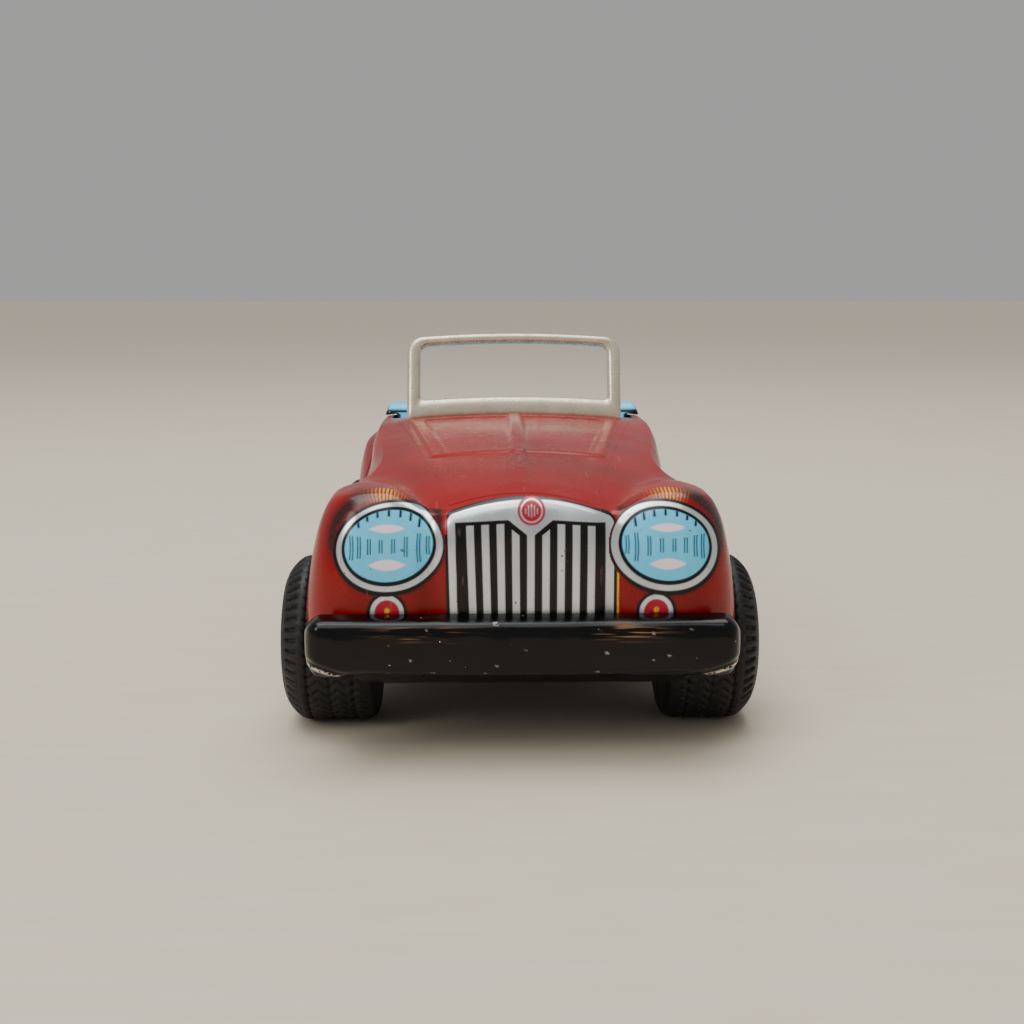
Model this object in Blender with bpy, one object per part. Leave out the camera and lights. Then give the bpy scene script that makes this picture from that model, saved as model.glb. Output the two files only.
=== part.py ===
"""Friction tin car: a pressed tin roadster with a flywheel motor on its rear axle.

Millimetres are used throughout and turned into metres as each mesh is made.  x runs across the car, s runs back
from the nose, z runs up from the ground.  The car faces -Y, and the origin is on the ground below its middle.
"""
import math

import bmesh
import bpy
import numpy as np
from mathutils import Matrix, Vector

MM = 0.001

# Driving dimensions
LENGTH = 140.0          # over both bumpers
BUMPER_DEPTH = 4.3      # how far each bumper stands out from the body
BODY_LENGTH = LENGTH - 2 * BUMPER_DEPTH
BODY_HALF = 32.2        # half the width over the wings
BODY_BOTTOM = 13.1      # lower edge of the body pressing
TIN = 0.4               # thickness of the body and seat pressings
PAN_TIN = 0.5           # thickness of the base pan
WHEEL_RADIUS = 13.0
TYRE_OUTER = 36.65      # outer side of a tyre, from the middle of the car
TYRE_INNER = 22.1
FRONT_AXLE_S = 21.0
REAR_AXLE_S = 106.0
ARCH_RADIUS = 15.0
AXLE_RADIUS = 1.0
ARBOR_RADIUS = 0.75
FIT = 0.05              # clearance between pieces that are pressed or stacked together
RUNNING = 0.08          # radial clearance of a turning arbor

NOSE = -LENGTH / 2 + BUMPER_DEPTH

# Cockpit opening
COCKPIT_HALF = 23.6
COCKPIT_FRONT = 66.5
COCKPIT_REAR = 85.5
COCKPIT_CORNER = 4.5

# Friction motor, seen along the axles
MODULE = 0.5
GEAR_TEETH = 24
PINION_TEETH = 8
CENTRES = MODULE * (GEAR_TEETH + PINION_TEETH) / 2
PLATE_INNER = 7.2
PLATE_THICK = 0.8
AXLE_GEAR_X = -3.5
LAY_GEAR_X = 2.5
GEAR_THICK = 1.6
FLYWHEEL_RADIUS = 8.8
FLYWHEEL_THICK = 5.0
FLYWHEEL_GAP = 0.9      # between a motor plate and its flywheel

REAR_AXLE = (REAR_AXLE_S, WHEEL_RADIUS)
FRONT_AXLE = (FRONT_AXLE_S, WHEEL_RADIUS)
LAY_ANGLE = math.radians(140)
FLY_ANGLE = math.radians(170)
LAY_ARBOR = (REAR_AXLE[0] + CENTRES * math.cos(LAY_ANGLE), REAR_AXLE[1] + CENTRES * math.sin(LAY_ANGLE))
FLY_ARBOR = (LAY_ARBOR[0] + CENTRES * math.cos(FLY_ANGLE), LAY_ARBOR[1] + CENTRES * math.sin(FLY_ANGLE))

PAN_FLOOR = 9.4         # underside of the base pan
PAN_RIM = 12.4          # underside of its flange
PAD_DEPTH = 0.8         # the stiffening pad pressed down in the middle of the pan


# ---------------------------------------------------------------- small tools

def clear_scene():
    for item in list(bpy.data.objects):
        bpy.data.objects.remove(item, do_unlink=True)


def material(name, colour, roughness, metallic):
    made = bpy.data.materials.get(name)
    if made is None:
        made = bpy.data.materials.new(name)
        made.use_nodes = True
        shader = made.node_tree.nodes["Principled BSDF"]
        shader.inputs["Base Color"].default_value = (*colour, 1.0)
        shader.inputs["Roughness"].default_value = roughness
        shader.inputs["Metallic"].default_value = metallic
    return made


def finish(name):
    table = {
        "red_litho": ((0.36, 0.004, 0.010), 0.22, 0.0),
        "blue_litho": ((0.16, 0.55, 0.75), 0.30, 0.0),
        "black_enamel": ((0.010, 0.010, 0.012), 0.18, 0.0),
        "plated": ((0.78, 0.74, 0.65), 0.28, 1.0),
        "rubber": ((0.012, 0.012, 0.013), 0.65, 0.0),
        "wheel_plastic": ((0.02, 0.02, 0.022), 0.45, 0.0),
        "bare_steel": ((0.55, 0.55, 0.56), 0.35, 1.0),
        "brass": ((0.72, 0.52, 0.22), 0.35, 1.0),
        "lead": ((0.30, 0.31, 0.33), 0.55, 1.0),
        "cream_plastic": ((0.75, 0.70, 0.58), 0.4, 0.0),
    }
    return material(name, *table[name])


def at(x, s, z):
    """Car coordinates in millimetres to world metres."""
    return Vector((x, s + NOSE, z)) * MM


def add_object(name, bm, finish_name, parent=None, smooth_angle=35.0, toward=None):
    """Links a mesh; an open sheet says which way its outer side looks."""
    bmesh.ops.recalc_face_normals(bm, faces=bm.faces)
    bm.normal_update()
    if toward is not None:
        lean = sum((face.normal * face.calc_area() for face in bm.faces), Vector())
        if lean.dot(Vector(toward)) < 0:
            bmesh.ops.reverse_faces(bm, faces=bm.faces)
    mesh = bpy.data.meshes.new(name)
    bm.to_mesh(mesh)
    bm.free()
    mesh.shade_smooth()
    mesh.set_sharp_from_angle(angle=math.radians(smooth_angle))
    made = bpy.data.objects.new(name, mesh)
    bpy.context.scene.collection.objects.link(made)
    made.data.materials.append(finish(finish_name))
    made.parent = parent
    return made


def axle_empty(name, centre):
    """An empty on a shaft's line, which the pieces on that shaft hang from."""
    made = bpy.data.objects.new(name, None)
    made.location = at(0.0, *centre)
    bpy.context.scene.collection.objects.link(made)
    return made


def modifier(target, kind, **settings):
    made = target.modifiers.new(kind.lower(), kind)
    for key, value in settings.items():
        setattr(made, key, value)
    return made


def boolean(target, tool, operation="DIFFERENCE"):
    tool.hide_render = True
    tool.display_type = "WIRE"
    return modifier(target, "BOOLEAN", operation=operation, object=tool, solver="EXACT")


def box_cutter(name, low, high, parent=None):
    bm = bmesh.new()
    bmesh.ops.create_cube(bm, size=1.0)
    low, high = Vector(low), Vector(high)
    for vert in bm.verts:
        vert.co = Vector(l + (h - l) * (c + 0.5) for l, h, c in zip(low, high, vert.co)) * MM
    if parent is None:
        bmesh.ops.translate(bm, verts=bm.verts, vec=(0, NOSE * MM, 0))
    return add_object(name, bm, "bare_steel", parent)


def grid(rows, closed=False):
    """A sheet of quads through rows of points, each row closed into a ring if asked."""
    bm = bmesh.new()
    made = [[bm.verts.new(point) for point in row] for row in rows]
    for lower, upper in zip(made, made[1:]):
        count = len(lower)
        for i in range(count if closed else count - 1):
            j = (i + 1) % count
            bm.faces.new((lower[i], lower[j], upper[j], upper[i]))
    return bm, made


def lathe(profile, segments, bore_closed=True):
    """A solid turned about the X axis from a closed (x, radius) outline; a radius of zero is on the axis."""
    bm = bmesh.new()
    rings = []
    for x, radius in profile:
        if radius == 0:
            rings.append([bm.verts.new((x * MM, 0, 0))])
            continue
        angles = [2 * math.pi * k / segments for k in range(segments)]
        rings.append([bm.verts.new((x * MM, radius * math.cos(a) * MM, radius * math.sin(a) * MM)) for a in angles])
    pairs = list(zip(rings, rings[1:]))
    if bore_closed:
        pairs.append((rings[-1], rings[0]))
    for first, second in pairs:
        for k in range(segments):
            n = (k + 1) % segments
            if len(first) == 1 and len(second) == 1:
                break
            if len(first) == 1:
                bm.faces.new((first[0], second[k], second[n]))
            elif len(second) == 1:
                bm.faces.new((first[k], first[n], second[0]))
            else:
                bm.faces.new((first[k], first[n], second[n], second[k]))
    return bm


def rod(x0, x1, radius, segments=20, chamfer=0.2):
    """A round bar along X with small chamfers at its ends."""
    return lathe([(x0, 0), (x0, radius - chamfer), (x0 + chamfer, radius),
                  (x1 - chamfer, radius), (x1, radius - chamfer), (x1, 0)], segments, bore_closed=False)


def prism(outline, x0, x1, centre=(0.0, 0.0)):
    """An outline of (s, z) points, extruded along X."""
    bm = bmesh.new()
    ds, dz = centre
    ends = [[bm.verts.new(Vector((x, s + ds, z + dz)) * MM) for s, z in outline] for x in (x0, x1)]
    bm.faces.new(ends[0])
    bm.faces.new(list(reversed(ends[1])))
    count = len(outline)
    for i in range(count):
        j = (i + 1) % count
        bm.faces.new((ends[0][i], ends[1][i], ends[1][j], ends[0][j]))
    return bm


def circle(radius, segments, phase=0.0):
    angles = [phase + 2 * math.pi * k / segments for k in range(segments)]
    return [(radius * math.cos(a), radius * math.sin(a)) for a in angles]


def hole(target, name, radius, x0, x1, centre=(0.0, 0.0), segments=20, parent=None):
    """Drills a round hole along X; the polygon's flats keep the radius asked for."""
    corner = radius / math.cos(math.pi / segments)
    bm = prism(circle(corner, segments), x0, x1, centre)
    if parent is None:
        bmesh.ops.translate(bm, verts=bm.verts, vec=(0, NOSE * MM, 0))
    return boolean(target, add_object(name, bm, "bare_steel", parent))


# ---------------------------------------------------------------- body surface

def along(knots, s):
    """Value at s on a smooth curve through (station, value) knots that never overshoots them."""
    xs = np.array([k[0] for k in knots], float)
    ys = np.array([k[1] for k in knots], float)
    s = np.asarray(s, float)
    step = np.diff(xs)
    slope = np.diff(ys) / step
    product = slope[:-1] * slope[1:]
    total = slope[:-1] + slope[1:]
    safe = np.where(np.abs(total) < 1e-9, 1.0, total)
    tangent = np.zeros_like(ys)
    tangent[1:-1] = np.where(product > 0, 2 * product / safe, 0.0)
    i = np.clip(np.searchsorted(xs, s, side="right") - 1, 0, len(step) - 1)
    t = np.clip((s - xs[i]) / step[i], 0, 1)
    h = step[i]
    return (ys[i] * (1 + 2 * t) * (1 - t) ** 2 + tangent[i] * h * t * (1 - t) ** 2
            + ys[i + 1] * t * t * (3 - 2 * t) + tangent[i + 1] * h * t * t * (t - 1))


CROWN = [(0, 38.0), (8, 39.7), (20, 41.4), (35, 42.9), (50, 43.9), (62, 44.5),
         (75, 44.4), (86, 43.7), (100, 41.8), (114, 38.0), (124, 33.8), (BODY_LENGTH, 29.5)]
CAMBER = [(0, 0.018), (15, 0.0102), (30, 0.0060), (45, 0.0037), (62, 0.0023), (90, 0.0028), (BODY_LENGTH, 0.008)]
POD_TOP = [(0, 37.9), (5, 38.9), (12, 39.0), (20, 38.0), (28, 35.2), (36, 30.0), (44, 20.0)]
POD_CREST = [(0, 20.0), (10, 21.5), (20, 23.5), (32, 26.0), (44, 27.0)]
POD_INNER_FALL = 0.070
POD_OUTER_FALL = 0.020
POD_BLEND = 1.2

FRONT_CORNER = 9.5
REAR_CORNER = 12.0

# Wall profiles from the lower edge up: (inset from the plan outline, share of the height up to the shoulder)
GRILLE_WALL = [(0.6, 0), (0.1, .20), (0.0, .40), (0.0, .60), (0.2, .78), (0.8, .91), (1.8, .975), (3.0, 1)]
POD_WALL = [(0.6, 0), (0.1, .22), (0.0, .42), (0.3, .60), (1.2, .78), (2.8, .92), (4.8, .985), (7.0, 1)]
WING_WALL = [(0.6, 0), (0.1, .15), (0.0, .26), (0.5, .46), (1.4, .66), (2.6, .83), (4.6, .955), (8.0, 1)]
TAIL_OF_WING = [(0.6, 0), (0.2, .20), (0.4, .38), (1.8, .62), (4.0, .78), (7.4, .835), (8.7, .93), (9.8, 1)]
DOOR_WALL = [(2.2, 0), (1.6, .15), (2.0, .32), (4.0, .50), (5.8, .66), (6.3, .82), (6.7, .93), (7.6, 1)]
REAR_WING_WALL = [(0.6, 0), (0.0, .25), (0.3, .50), (0.9, .66), (2.2, .82), (4.3, .89), (6.2, .94), (8.0, 1)]
TAIL_CORNER_WALL = [(0.6, 0), (0.0, .25), (0.3, .50), (1.2, .68), (2.8, .83), (4.8, .92), (6.8, .975), (9.0, 1)]
TAIL_WALL = [(0.6, 0), (0.0, .30), (0.2, .55), (1.0, .74), (2.6, .87), (4.8, .95), (7.0, .985), (9.0, 1)]


def smooth_max(a, b, width):
    return (a + b + np.sqrt((a - b) ** 2 + width * width)) / 2


def top_height(x, s):
    """Height of the bonnet, the head lamp pods and the rear deck."""
    a = np.abs(x)
    crown = along(CROWN, s) - along(CAMBER, s) * a * a
    offset = a - along(POD_CREST, s)
    pod = along(POD_TOP, s) - np.where(offset < 0, POD_INNER_FALL, POD_OUTER_FALL) * offset ** 2
    return smooth_max(crown, pod, POD_BLEND)


def nose_relief(x, s):
    """The nose is set back in the creases between the grille and the pods, and fades out behind them."""
    crease = 0.9 * np.exp(-((np.abs(x) - 13.0) / 1.8) ** 2)
    return crease * np.clip(1 - s / 10.0, 0, 1)


def tail_bow(x, s):
    return -0.004 * x * x * np.clip((s - 110.0) / 20.0, 0, 1)


def plan_outline(counts):
    """Half of the plan outline, from the middle of the nose to the middle of the tail.

    Each entry is (point, inward normal, wall profile).  The tail has as many steps as the nose, because the rows
    of the top run from one to the other.
    """
    across, corner, side = counts
    half_front = BODY_HALF - FRONT_CORNER
    half_rear = BODY_HALF - REAR_CORNER
    entries = []
    face_profiles = [(0, GRILLE_WALL), (10.5, GRILLE_WALL), (17.5, POD_WALL), (half_front, POD_WALL)]
    for k in range(across):
        x = half_front * k / across
        entries.append(((x, 0.0), (0.0, 1.0), wall_between(face_profiles, x)))
    for k in range(corner):
        turn = math.pi / 2 * k / corner
        out = (math.sin(turn), -math.cos(turn))
        point = (half_front + FRONT_CORNER * out[0], FRONT_CORNER + FRONT_CORNER * out[1])
        entries.append((point, (-out[0], -out[1]), wall_between([(0, POD_WALL), (1, WING_WALL)], k / corner)))
    first, last = FRONT_CORNER, BODY_LENGTH - REAR_CORNER
    side_profiles = [(first, WING_WALL), (20, WING_WALL), (33, TAIL_OF_WING), (55, DOOR_WALL), (74, DOOR_WALL),
                     (92, REAR_WING_WALL), (108, REAR_WING_WALL), (last, TAIL_CORNER_WALL)]
    for k in range(side):
        share = k / side
        s = first + (last - first) * share * (0.7 + 0.3 * share)
        entries.append(((BODY_HALF, s), (-1.0, 0.0), wall_between(side_profiles, s)))
    for k in range(corner):
        turn = math.pi / 2 * k / corner
        out = (math.cos(turn), math.sin(turn))
        point = (half_rear + REAR_CORNER * out[0], BODY_LENGTH - REAR_CORNER + REAR_CORNER * out[1])
        entries.append((point, (-out[0], -out[1]), wall_between([(0, TAIL_CORNER_WALL), (1, TAIL_WALL)], k / corner)))
    for k in range(across + 1):
        entries.append(((half_rear * (1 - k / across), BODY_LENGTH), (0.0, -1.0), np.array(TAIL_WALL)))
    return entries


def wall_between(profiles, position):
    """The wall profile at a position, blended from the profiles on either side of it."""
    knots = [(p, np.array(w, float)) for p, w in profiles]
    for (p0, w0), (p1, w1) in zip(knots, knots[1:]):
        if position <= p1:
            t = (position - p0) / (p1 - p0)
            t = t * t * (3 - 2 * t)
            return w0 * (1 - t) + w1 * t
    return knots[-1][1]


def warp(x, s):
    """From the ideal plan to the real one."""
    return x, s + nose_relief(x, s) + tail_bow(x, s)


def wall_columns(counts):
    """Columns of points up the walls, all round the body, each ending on the shoulder."""
    right = []
    for point, normal, wall in plan_outline(counts):
        shoulder = np.array(point) + wall[-1][0] * np.array(normal)
        top = float(top_height(*warp(*shoulder)))
        column = []
        for inset, share in wall:
            x, s = warp(*(np.array(point) + inset * np.array(normal)))
            column.append((float(x), float(s), BODY_BOTTOM + share * (top - BODY_BOTTOM)))
        right.append(column)
    left = [[(-x, s, z) for x, s, z in column] for column in reversed(right[1:-1])]
    return right + left


def body_sheet(counts):
    """The body's outer side: walls all round, closed by a top patch blended from the four shoulder lines."""
    across, corner, side = counts
    columns = wall_columns(counts)
    count = len(columns)
    bm = bmesh.new()
    walls = [[bm.verts.new(at(*point)) for point in column] for column in columns]
    for first, second in zip(walls, walls[1:] + walls[:1]):
        for k in range(len(first) - 1):
            bm.faces.new((first[k], second[k], second[k + 1], first[k + 1]))
    shoulder = np.array([column[-1][:2] for column in columns])
    half = across + corner // 2
    rows = corner + side
    tail = count // 2
    width = shoulder[half][0]
    s0, s1 = shoulder[half][1], shoulder[half + rows][1]
    patch = {}
    for i in range(-half, half + 1):
        patch[i, 0] = walls[i % count][-1]
        patch[i, rows] = walls[tail - i][-1]
    for j in range(rows + 1):
        patch[half, j] = walls[half + j][-1]
        patch[-half, j] = walls[(-half - j) % count][-1]
    for i in range(-half + 1, half):
        nose, back = shoulder[i % count], shoulder[tail - i]
        u = (nose[0] / width + 1) / 2
        for j in range(1, rows):
            right, left = shoulder[half + j], shoulder[(-half - j) % count]
            v = (right[1] - s0) / (s1 - s0)
            corners = ((1 - u) * (1 - v) * shoulder[-half % count] + u * (1 - v) * shoulder[half]
                       + (1 - u) * v * shoulder[tail + half] + u * v * shoulder[tail - half])
            x, s = (1 - v) * nose + v * back + (1 - u) * left + u * right - corners
            patch[i, j] = bm.verts.new(at(x, s, float(top_height(x, s))))
    for i in range(-half, half):
        for j in range(rows):
            bm.faces.new((patch[i, j], patch[i + 1, j], patch[i + 1, j + 1], patch[i, j + 1]))
    return bm


def wall_x(s, z):
    """Outer side of the body at a station between the wheels, for pieces that meet it."""
    side_profiles = [(33, TAIL_OF_WING), (55, DOOR_WALL), (74, DOOR_WALL), (92, REAR_WING_WALL)]
    wall = wall_between(side_profiles, s)
    top = float(top_height(BODY_HALF - wall[-1][0], s))
    heights = [BODY_BOTTOM + share * (top - BODY_BOTTOM) for _, share in wall]
    return BODY_HALF - float(np.interp(z, heights, wall[:, 0]))


# ---------------------------------------------------------------- body group

TAB_STATIONS = (44.0, 82.0)
TAB_LENGTH = 4.0
WINDSCREEN_S = 62.0
WINDSCREEN_TAB_X = 15.0
WINDSCREEN_TAB = (3.0, 0.6)     # width and thickness
WINDSCREEN_LEAN = math.radians(18)


def body_shell():
    made = add_object("body_shell", body_sheet((6, 4, 14)), "red_litho", smooth_angle=50, toward=(0, 0, 1))
    modifier(made, "SOLIDIFY", thickness=TIN * MM, offset=-1.0, use_even_offset=True)
    boolean(made, cockpit_cutter())
    for name, station in (("front", FRONT_AXLE_S), ("rear", REAR_AXLE_S)):
        for side, x0, x1 in (("left", -40.0, -20.0), ("right", 20.0, 40.0)):
            outline = circle(ARCH_RADIUS, 28, phase=math.pi / 28)
            bm = prism(outline, x0, x1, (station + NOSE, WHEEL_RADIUS))
            boolean(made, add_object(f"cut_arch_{name}_{side}", bm, "bare_steel"))
    for side in (-1, 1):
        x, (width, thick) = side * WINDSCREEN_TAB_X, WINDSCREEN_TAB
        low = (x - width / 2 - 0.2, WINDSCREEN_S - thick / 2 - 0.2, 40.0)
        high = (x + width / 2 + 0.2, WINDSCREEN_S + thick / 2 + 0.2, 48.0)
        boolean(made, box_cutter(f"cut_windscreen_slot_{side + 1}", low, high))
    for side in (-1, 1):
        for station in TAB_STATIONS:
            boolean(made, fixing_tab(side, station), "UNION")
    return made


def cockpit_cutter():
    """A rounded opening, cut straight down through the top."""
    ring = pad_ring(COCKPIT_HALF, COCKPIT_FRONT, COCKPIT_REAR, 30.0, (1, 4, 1), COCKPIT_CORNER)
    bm, made = grid([ring, [point + Vector((0, 0, 30 * MM)) for point in ring]], closed=True)
    bm.faces.new(made[0])
    bm.faces.new(made[1])
    return add_object("cut_cockpit", bm, "bare_steel")


def fixing_tab(side, station):
    """A tab of the body pressing that goes down through the pan's flange and is bent in under it."""
    foot = PAN_RIM - 0.1
    outer = min(wall_x(station - TAB_LENGTH / 2, 14.5), wall_x(station + TAB_LENGTH / 2, 14.5)) - 0.02
    inner = outer - TIN
    profile = [(outer, 15.2), (outer, foot - TIN), (inner - 2.6, foot - TIN), (inner - 2.6, foot), (inner, foot),
               (inner, 15.2)]
    bm = bmesh.new()
    ends = [[bm.verts.new(at(side * x, s, z)) for x, z in profile]
            for s in (station - TAB_LENGTH / 2, station + TAB_LENGTH / 2)]
    bm.faces.new(ends[0])
    bm.faces.new(ends[1])
    for i in range(len(profile)):
        j = (i + 1) % len(profile)
        bm.faces.new((ends[0][i], ends[0][j], ends[1][j], ends[1][i]))
    return add_object(f"join_tab_{side + 1}_{int(station)}", bm, "bare_steel")


def bumper_rows(front, across=18, up=7):
    """A drawn half-round bar, open at the back; its rim lies against the end of the body."""
    half_length, half_height = 31.3, 4.75
    middle = PAN_RIM + half_height
    rim = -0.1 if front else BODY_LENGTH + 0.1
    direction = -1 if front else 1
    rows = []
    for j in range(up + 1):
        v = -math.cos(math.pi * j / up)
        row = []
        for i in range(across + 1):
            u = -math.cos(math.pi * i / across)
            depth = (BUMPER_DEPTH - 0.1) * (1 - abs(u) ** 10) ** 0.4 * (1 - abs(v) ** 4) ** 0.45
            row.append(at(half_length * u, rim + direction * depth, middle + half_height * v))
        rows.append(row)
    return rows


def inset_ring(inset, z, counts):
    """The plan outline drawn in by an inset, at one height."""
    right = []
    for point, normal, wall in plan_outline(counts):
        x, s = warp(*(np.array(point) + (wall[0][0] + inset) * np.array(normal)))
        right.append((float(x), float(s)))
    ring = right + [(-x, s) for x, s in reversed(right[1:-1])]
    return [at(x, s, z) for x, s in ring]


def pad_ring(half_width, s0, s1, z, counts, radius=3.0):
    """A rounded rectangle with as many points as the outline's rings."""
    across, corner, side = counts
    right = [((half_width - radius) * k / across, s0) for k in range(across)]
    turns = [math.pi / 2 * k / corner for k in range(corner)]
    right += [(half_width - radius + radius * math.sin(a), s0 + radius - radius * math.cos(a)) for a in turns]
    right += [(half_width, s0 + radius + (s1 - s0 - 2 * radius) * k / side) for k in range(side)]
    right += [(half_width - radius + radius * math.cos(a), s1 - radius + radius * math.sin(a)) for a in turns]
    right += [((half_width - radius) * (1 - k / across), s1) for k in range(across + 1)]
    ring = right + [(-x, s) for x, s in reversed(right[1:-1])]
    return [at(x, s, z) for x, s in ring]


def base_pan():
    counts = (5, 2, 8)
    rings = [inset_ring(0.2, PAN_RIM, counts), inset_ring(3.4, PAN_RIM, counts), inset_ring(6.4, PAN_FLOOR, counts),
             pad_ring(17.0, 38.0, 74.0, PAN_FLOOR, counts),
             pad_ring(16.0, 39.0, 73.0, PAN_FLOOR - PAD_DEPTH, counts)]
    bm, made = grid(rings, closed=True)
    bm.faces.new(made[-1])
    pan = add_object("base_pan", bm, "black_enamel", toward=(0, 0, -1))
    modifier(pan, "SOLIDIFY", thickness=PAN_TIN * MM, offset=-1.0, use_even_offset=True)
    for name, front in (("front", True), ("rear", False)):
        bm, _ = grid(bumper_rows(front))
        bumper = add_object(f"join_bumper_{name}", bm, "black_enamel", toward=(0, -1 if front else 1, 0))
        modifier(bumper, "SOLIDIFY", thickness=PAN_TIN * MM, offset=-1.0, use_even_offset=True)
        boolean(pan, bumper, "UNION")
        s0, s1 = (-2.0, 3.0) if front else (BODY_LENGTH - 3.0, BODY_LENGTH + 2.0)
        half = 26.0 if front else 23.0
        strip = box_cutter(f"join_strip_{name}", (-half, s0, PAN_RIM + 0.06), (half, s1, PAN_RIM + 0.44))
        boolean(pan, strip, "UNION")
    for name, station in (("front", FRONT_AXLE_S), ("rear", REAR_AXLE_S)):
        for side in (-1, 1):
            inner, outer = sorted((side * (TYRE_INNER - 1.3), side * 40.0))
            low, high = (inner, station - 14.4, 5.0), (outer, station + 14.4, 20.0)
            boolean(pan, box_cutter(f"cut_wheel_{name}_{side + 1}", low, high))
    boolean(pan, box_cutter("cut_gear_window", (-5.6, REAR_AXLE_S - 13.6, 5.0), (5.6, REAR_AXLE_S + 7.4, 20.0)))
    for side in (-1, 1):
        for station in TAB_STATIONS:
            outer = wall_x(station, 14.5)
            x0, x1 = sorted((side * (outer - 0.85), side * (outer + 0.4)))
            low = (x0, station - TAB_LENGTH / 2 - 0.4, 8.0)
            high = (x1, station + TAB_LENGTH / 2 + 0.4, 13.05)
            boolean(pan, box_cutter(f"cut_slot_{side + 1}_{int(station)}", low, high))
    return pan


def windscreen_frame():
    """A pressed frame with no glass, leaning back, with two tabs that go through the cowl."""
    half_width, height, corner = 20.0, 15.6, 2.6
    opening_half, opening_low, opening_high, opening_corner = 17.1, 3.7, 12.7, 1.2
    thick = 1.6
    rise = 0.9

    def arch(x):
        return rise * (1 - (x / half_width) ** 2)

    def rounded(half, low, high, radius):
        right = [(half * k / 5, low) for k in range(5)] if radius else []
        right.append((half, low))
        turns = [math.pi / 2 * k / 4 for k in range(5)]
        right += [(half - radius + radius * math.cos(a), high - radius + radius * math.sin(a)) for a in turns]
        right += [((half - radius) * (1 - k / 5), high) for k in range(1, 6)]
        return right + [(-x, z) for x, z in reversed(right[1:-1])]

    def lean(x, depth, z):
        z = z + arch(x)
        s = WINDSCREEN_S - thick / 2 + depth * math.cos(WINDSCREEN_LEAN) + z * math.sin(WINDSCREEN_LEAN)
        return at(x, s, base + z * math.cos(WINDSCREEN_LEAN) - depth * math.sin(WINDSCREEN_LEAN))

    base = float(top_height(half_width, WINDSCREEN_S)) + 0.45
    outer = rounded(half_width, 0.0, height, corner)
    inner = rounded(opening_half, opening_low, opening_high, opening_corner)
    bm = bmesh.new()
    loops = [[bm.verts.new(lean(x, depth, z)) for x, z in outline]
             for outline, depth in ((outer, 0.0), (outer, thick), (inner, thick), (inner, 0.0))]
    for first, second in zip(loops, loops[1:] + loops[:1]):
        for i in range(len(first)):
            j = (i + 1) % len(first)
            bm.faces.new((first[i], first[j], second[j], second[i]))
    made = add_object("windscreen_frame", bm, "plated")
    modifier(made, "BEVEL", width=0.45 * MM, segments=1, limit_method="ANGLE", angle_limit=math.radians(50))
    width, tab_thick = WINDSCREEN_TAB
    for side in (-1, 1):
        x = side * WINDSCREEN_TAB_X
        low = (x - width / 2, WINDSCREEN_S - tab_thick / 2, 41.0)
        high = (x + width / 2, WINDSCREEN_S + tab_thick / 2, base + 1.6)
        boolean(made, box_cutter(f"join_windscreen_tab_{side + 1}", low, high), "UNION")
    return made


SEAT_PROFILE = [(65.2, 41.2), (63.6, 37.6), (62.8, 31.0), (61.0, 29.0), (61.0, 26.0), (69.0, 26.0), (70.0, 30.6),
                (71.2, 31.8), (76.0, 31.2), (77.6, 32.4), (79.6, 42.2), (80.6, 44.4), (82.4, 45.0), (84.6, 44.7)]
SEAT_HALF = 22.8
SEAT_TOP_HALF = 25.2


def seat_pressing():
    """Dash, floor, bench and seat back folded from one sheet, whose top roll rests on the rear deck."""
    rows = []
    for s, z in SEAT_PROFILE:
        half = SEAT_HALF if z < 43.0 or s < 70 else SEAT_TOP_HALF
        half = half - 1.4 if z > 44.9 else half
        rows.append([at(half * u, s, z) for u in (-1.0, -0.5, 0.0, 0.5, 1.0)])
    bm, _ = grid(rows)
    made = add_object("seat_pressing", bm, "blue_litho")
    modifier(made, "SOLIDIFY", thickness=TIN * MM, offset=0.0, use_even_offset=True)
    return made


STEERING_X = -11.0
STEERING_FOOT = (63.9, 36.0)
STEERING_LEAN = math.radians(32)
STEERING_LENGTH = 7.5
STEERING_RADIUS = 5.2


def steering():
    """A column fixed in the dash, and a wheel that turns on it."""
    direction = Vector((0.0, math.cos(STEERING_LEAN), math.sin(STEERING_LEAN)))
    turn = Vector((1.0, 0.0, 0.0)).rotation_difference(direction).to_matrix().to_4x4()
    foot = at(STEERING_X, *STEERING_FOOT)
    column = add_object("steering_column", rod(0.1, STEERING_LENGTH - 0.15, 0.7, 16), "bare_steel")
    column.matrix_world = Matrix.Translation(foot) @ turn
    hub_place = Matrix.Translation(foot + direction * STEERING_LENGTH * MM) @ turn
    ring = lathe([(0.45 * math.cos(a), STEERING_RADIUS + 0.45 * math.sin(a))
                  for a in (2 * math.pi * k / 6 for k in range(6))], 24)
    wheel = add_object("steering_wheel", ring, "cream_plastic")
    wheel.matrix_world = hub_place
    hub = add_object("join_steering_hub", rod(0.1, 1.3, 1.4, 16), "cream_plastic")
    hub.matrix_world = hub_place
    boolean(wheel, hub, "UNION")
    for k in range(3):
        spoke = bmesh.new()
        bmesh.ops.create_cube(spoke, size=1.0)
        angle = math.radians(90 + 120 * k)
        place = (Matrix.Rotation(angle, 4, "X") @ Matrix.Translation((0.2 * MM, STEERING_RADIUS / 2 * MM, 0))
                 @ Matrix.Diagonal((0.5 * MM, STEERING_RADIUS * MM, 0.8 * MM, 1)))
        bmesh.ops.transform(spoke, matrix=place, verts=spoke.verts)
        arm = add_object(f"join_steering_spoke_{k}", spoke, "cream_plastic")
        arm.matrix_world = hub_place
        boolean(wheel, arm, "UNION")


# ---------------------------------------------------------------- axles and wheels

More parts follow.
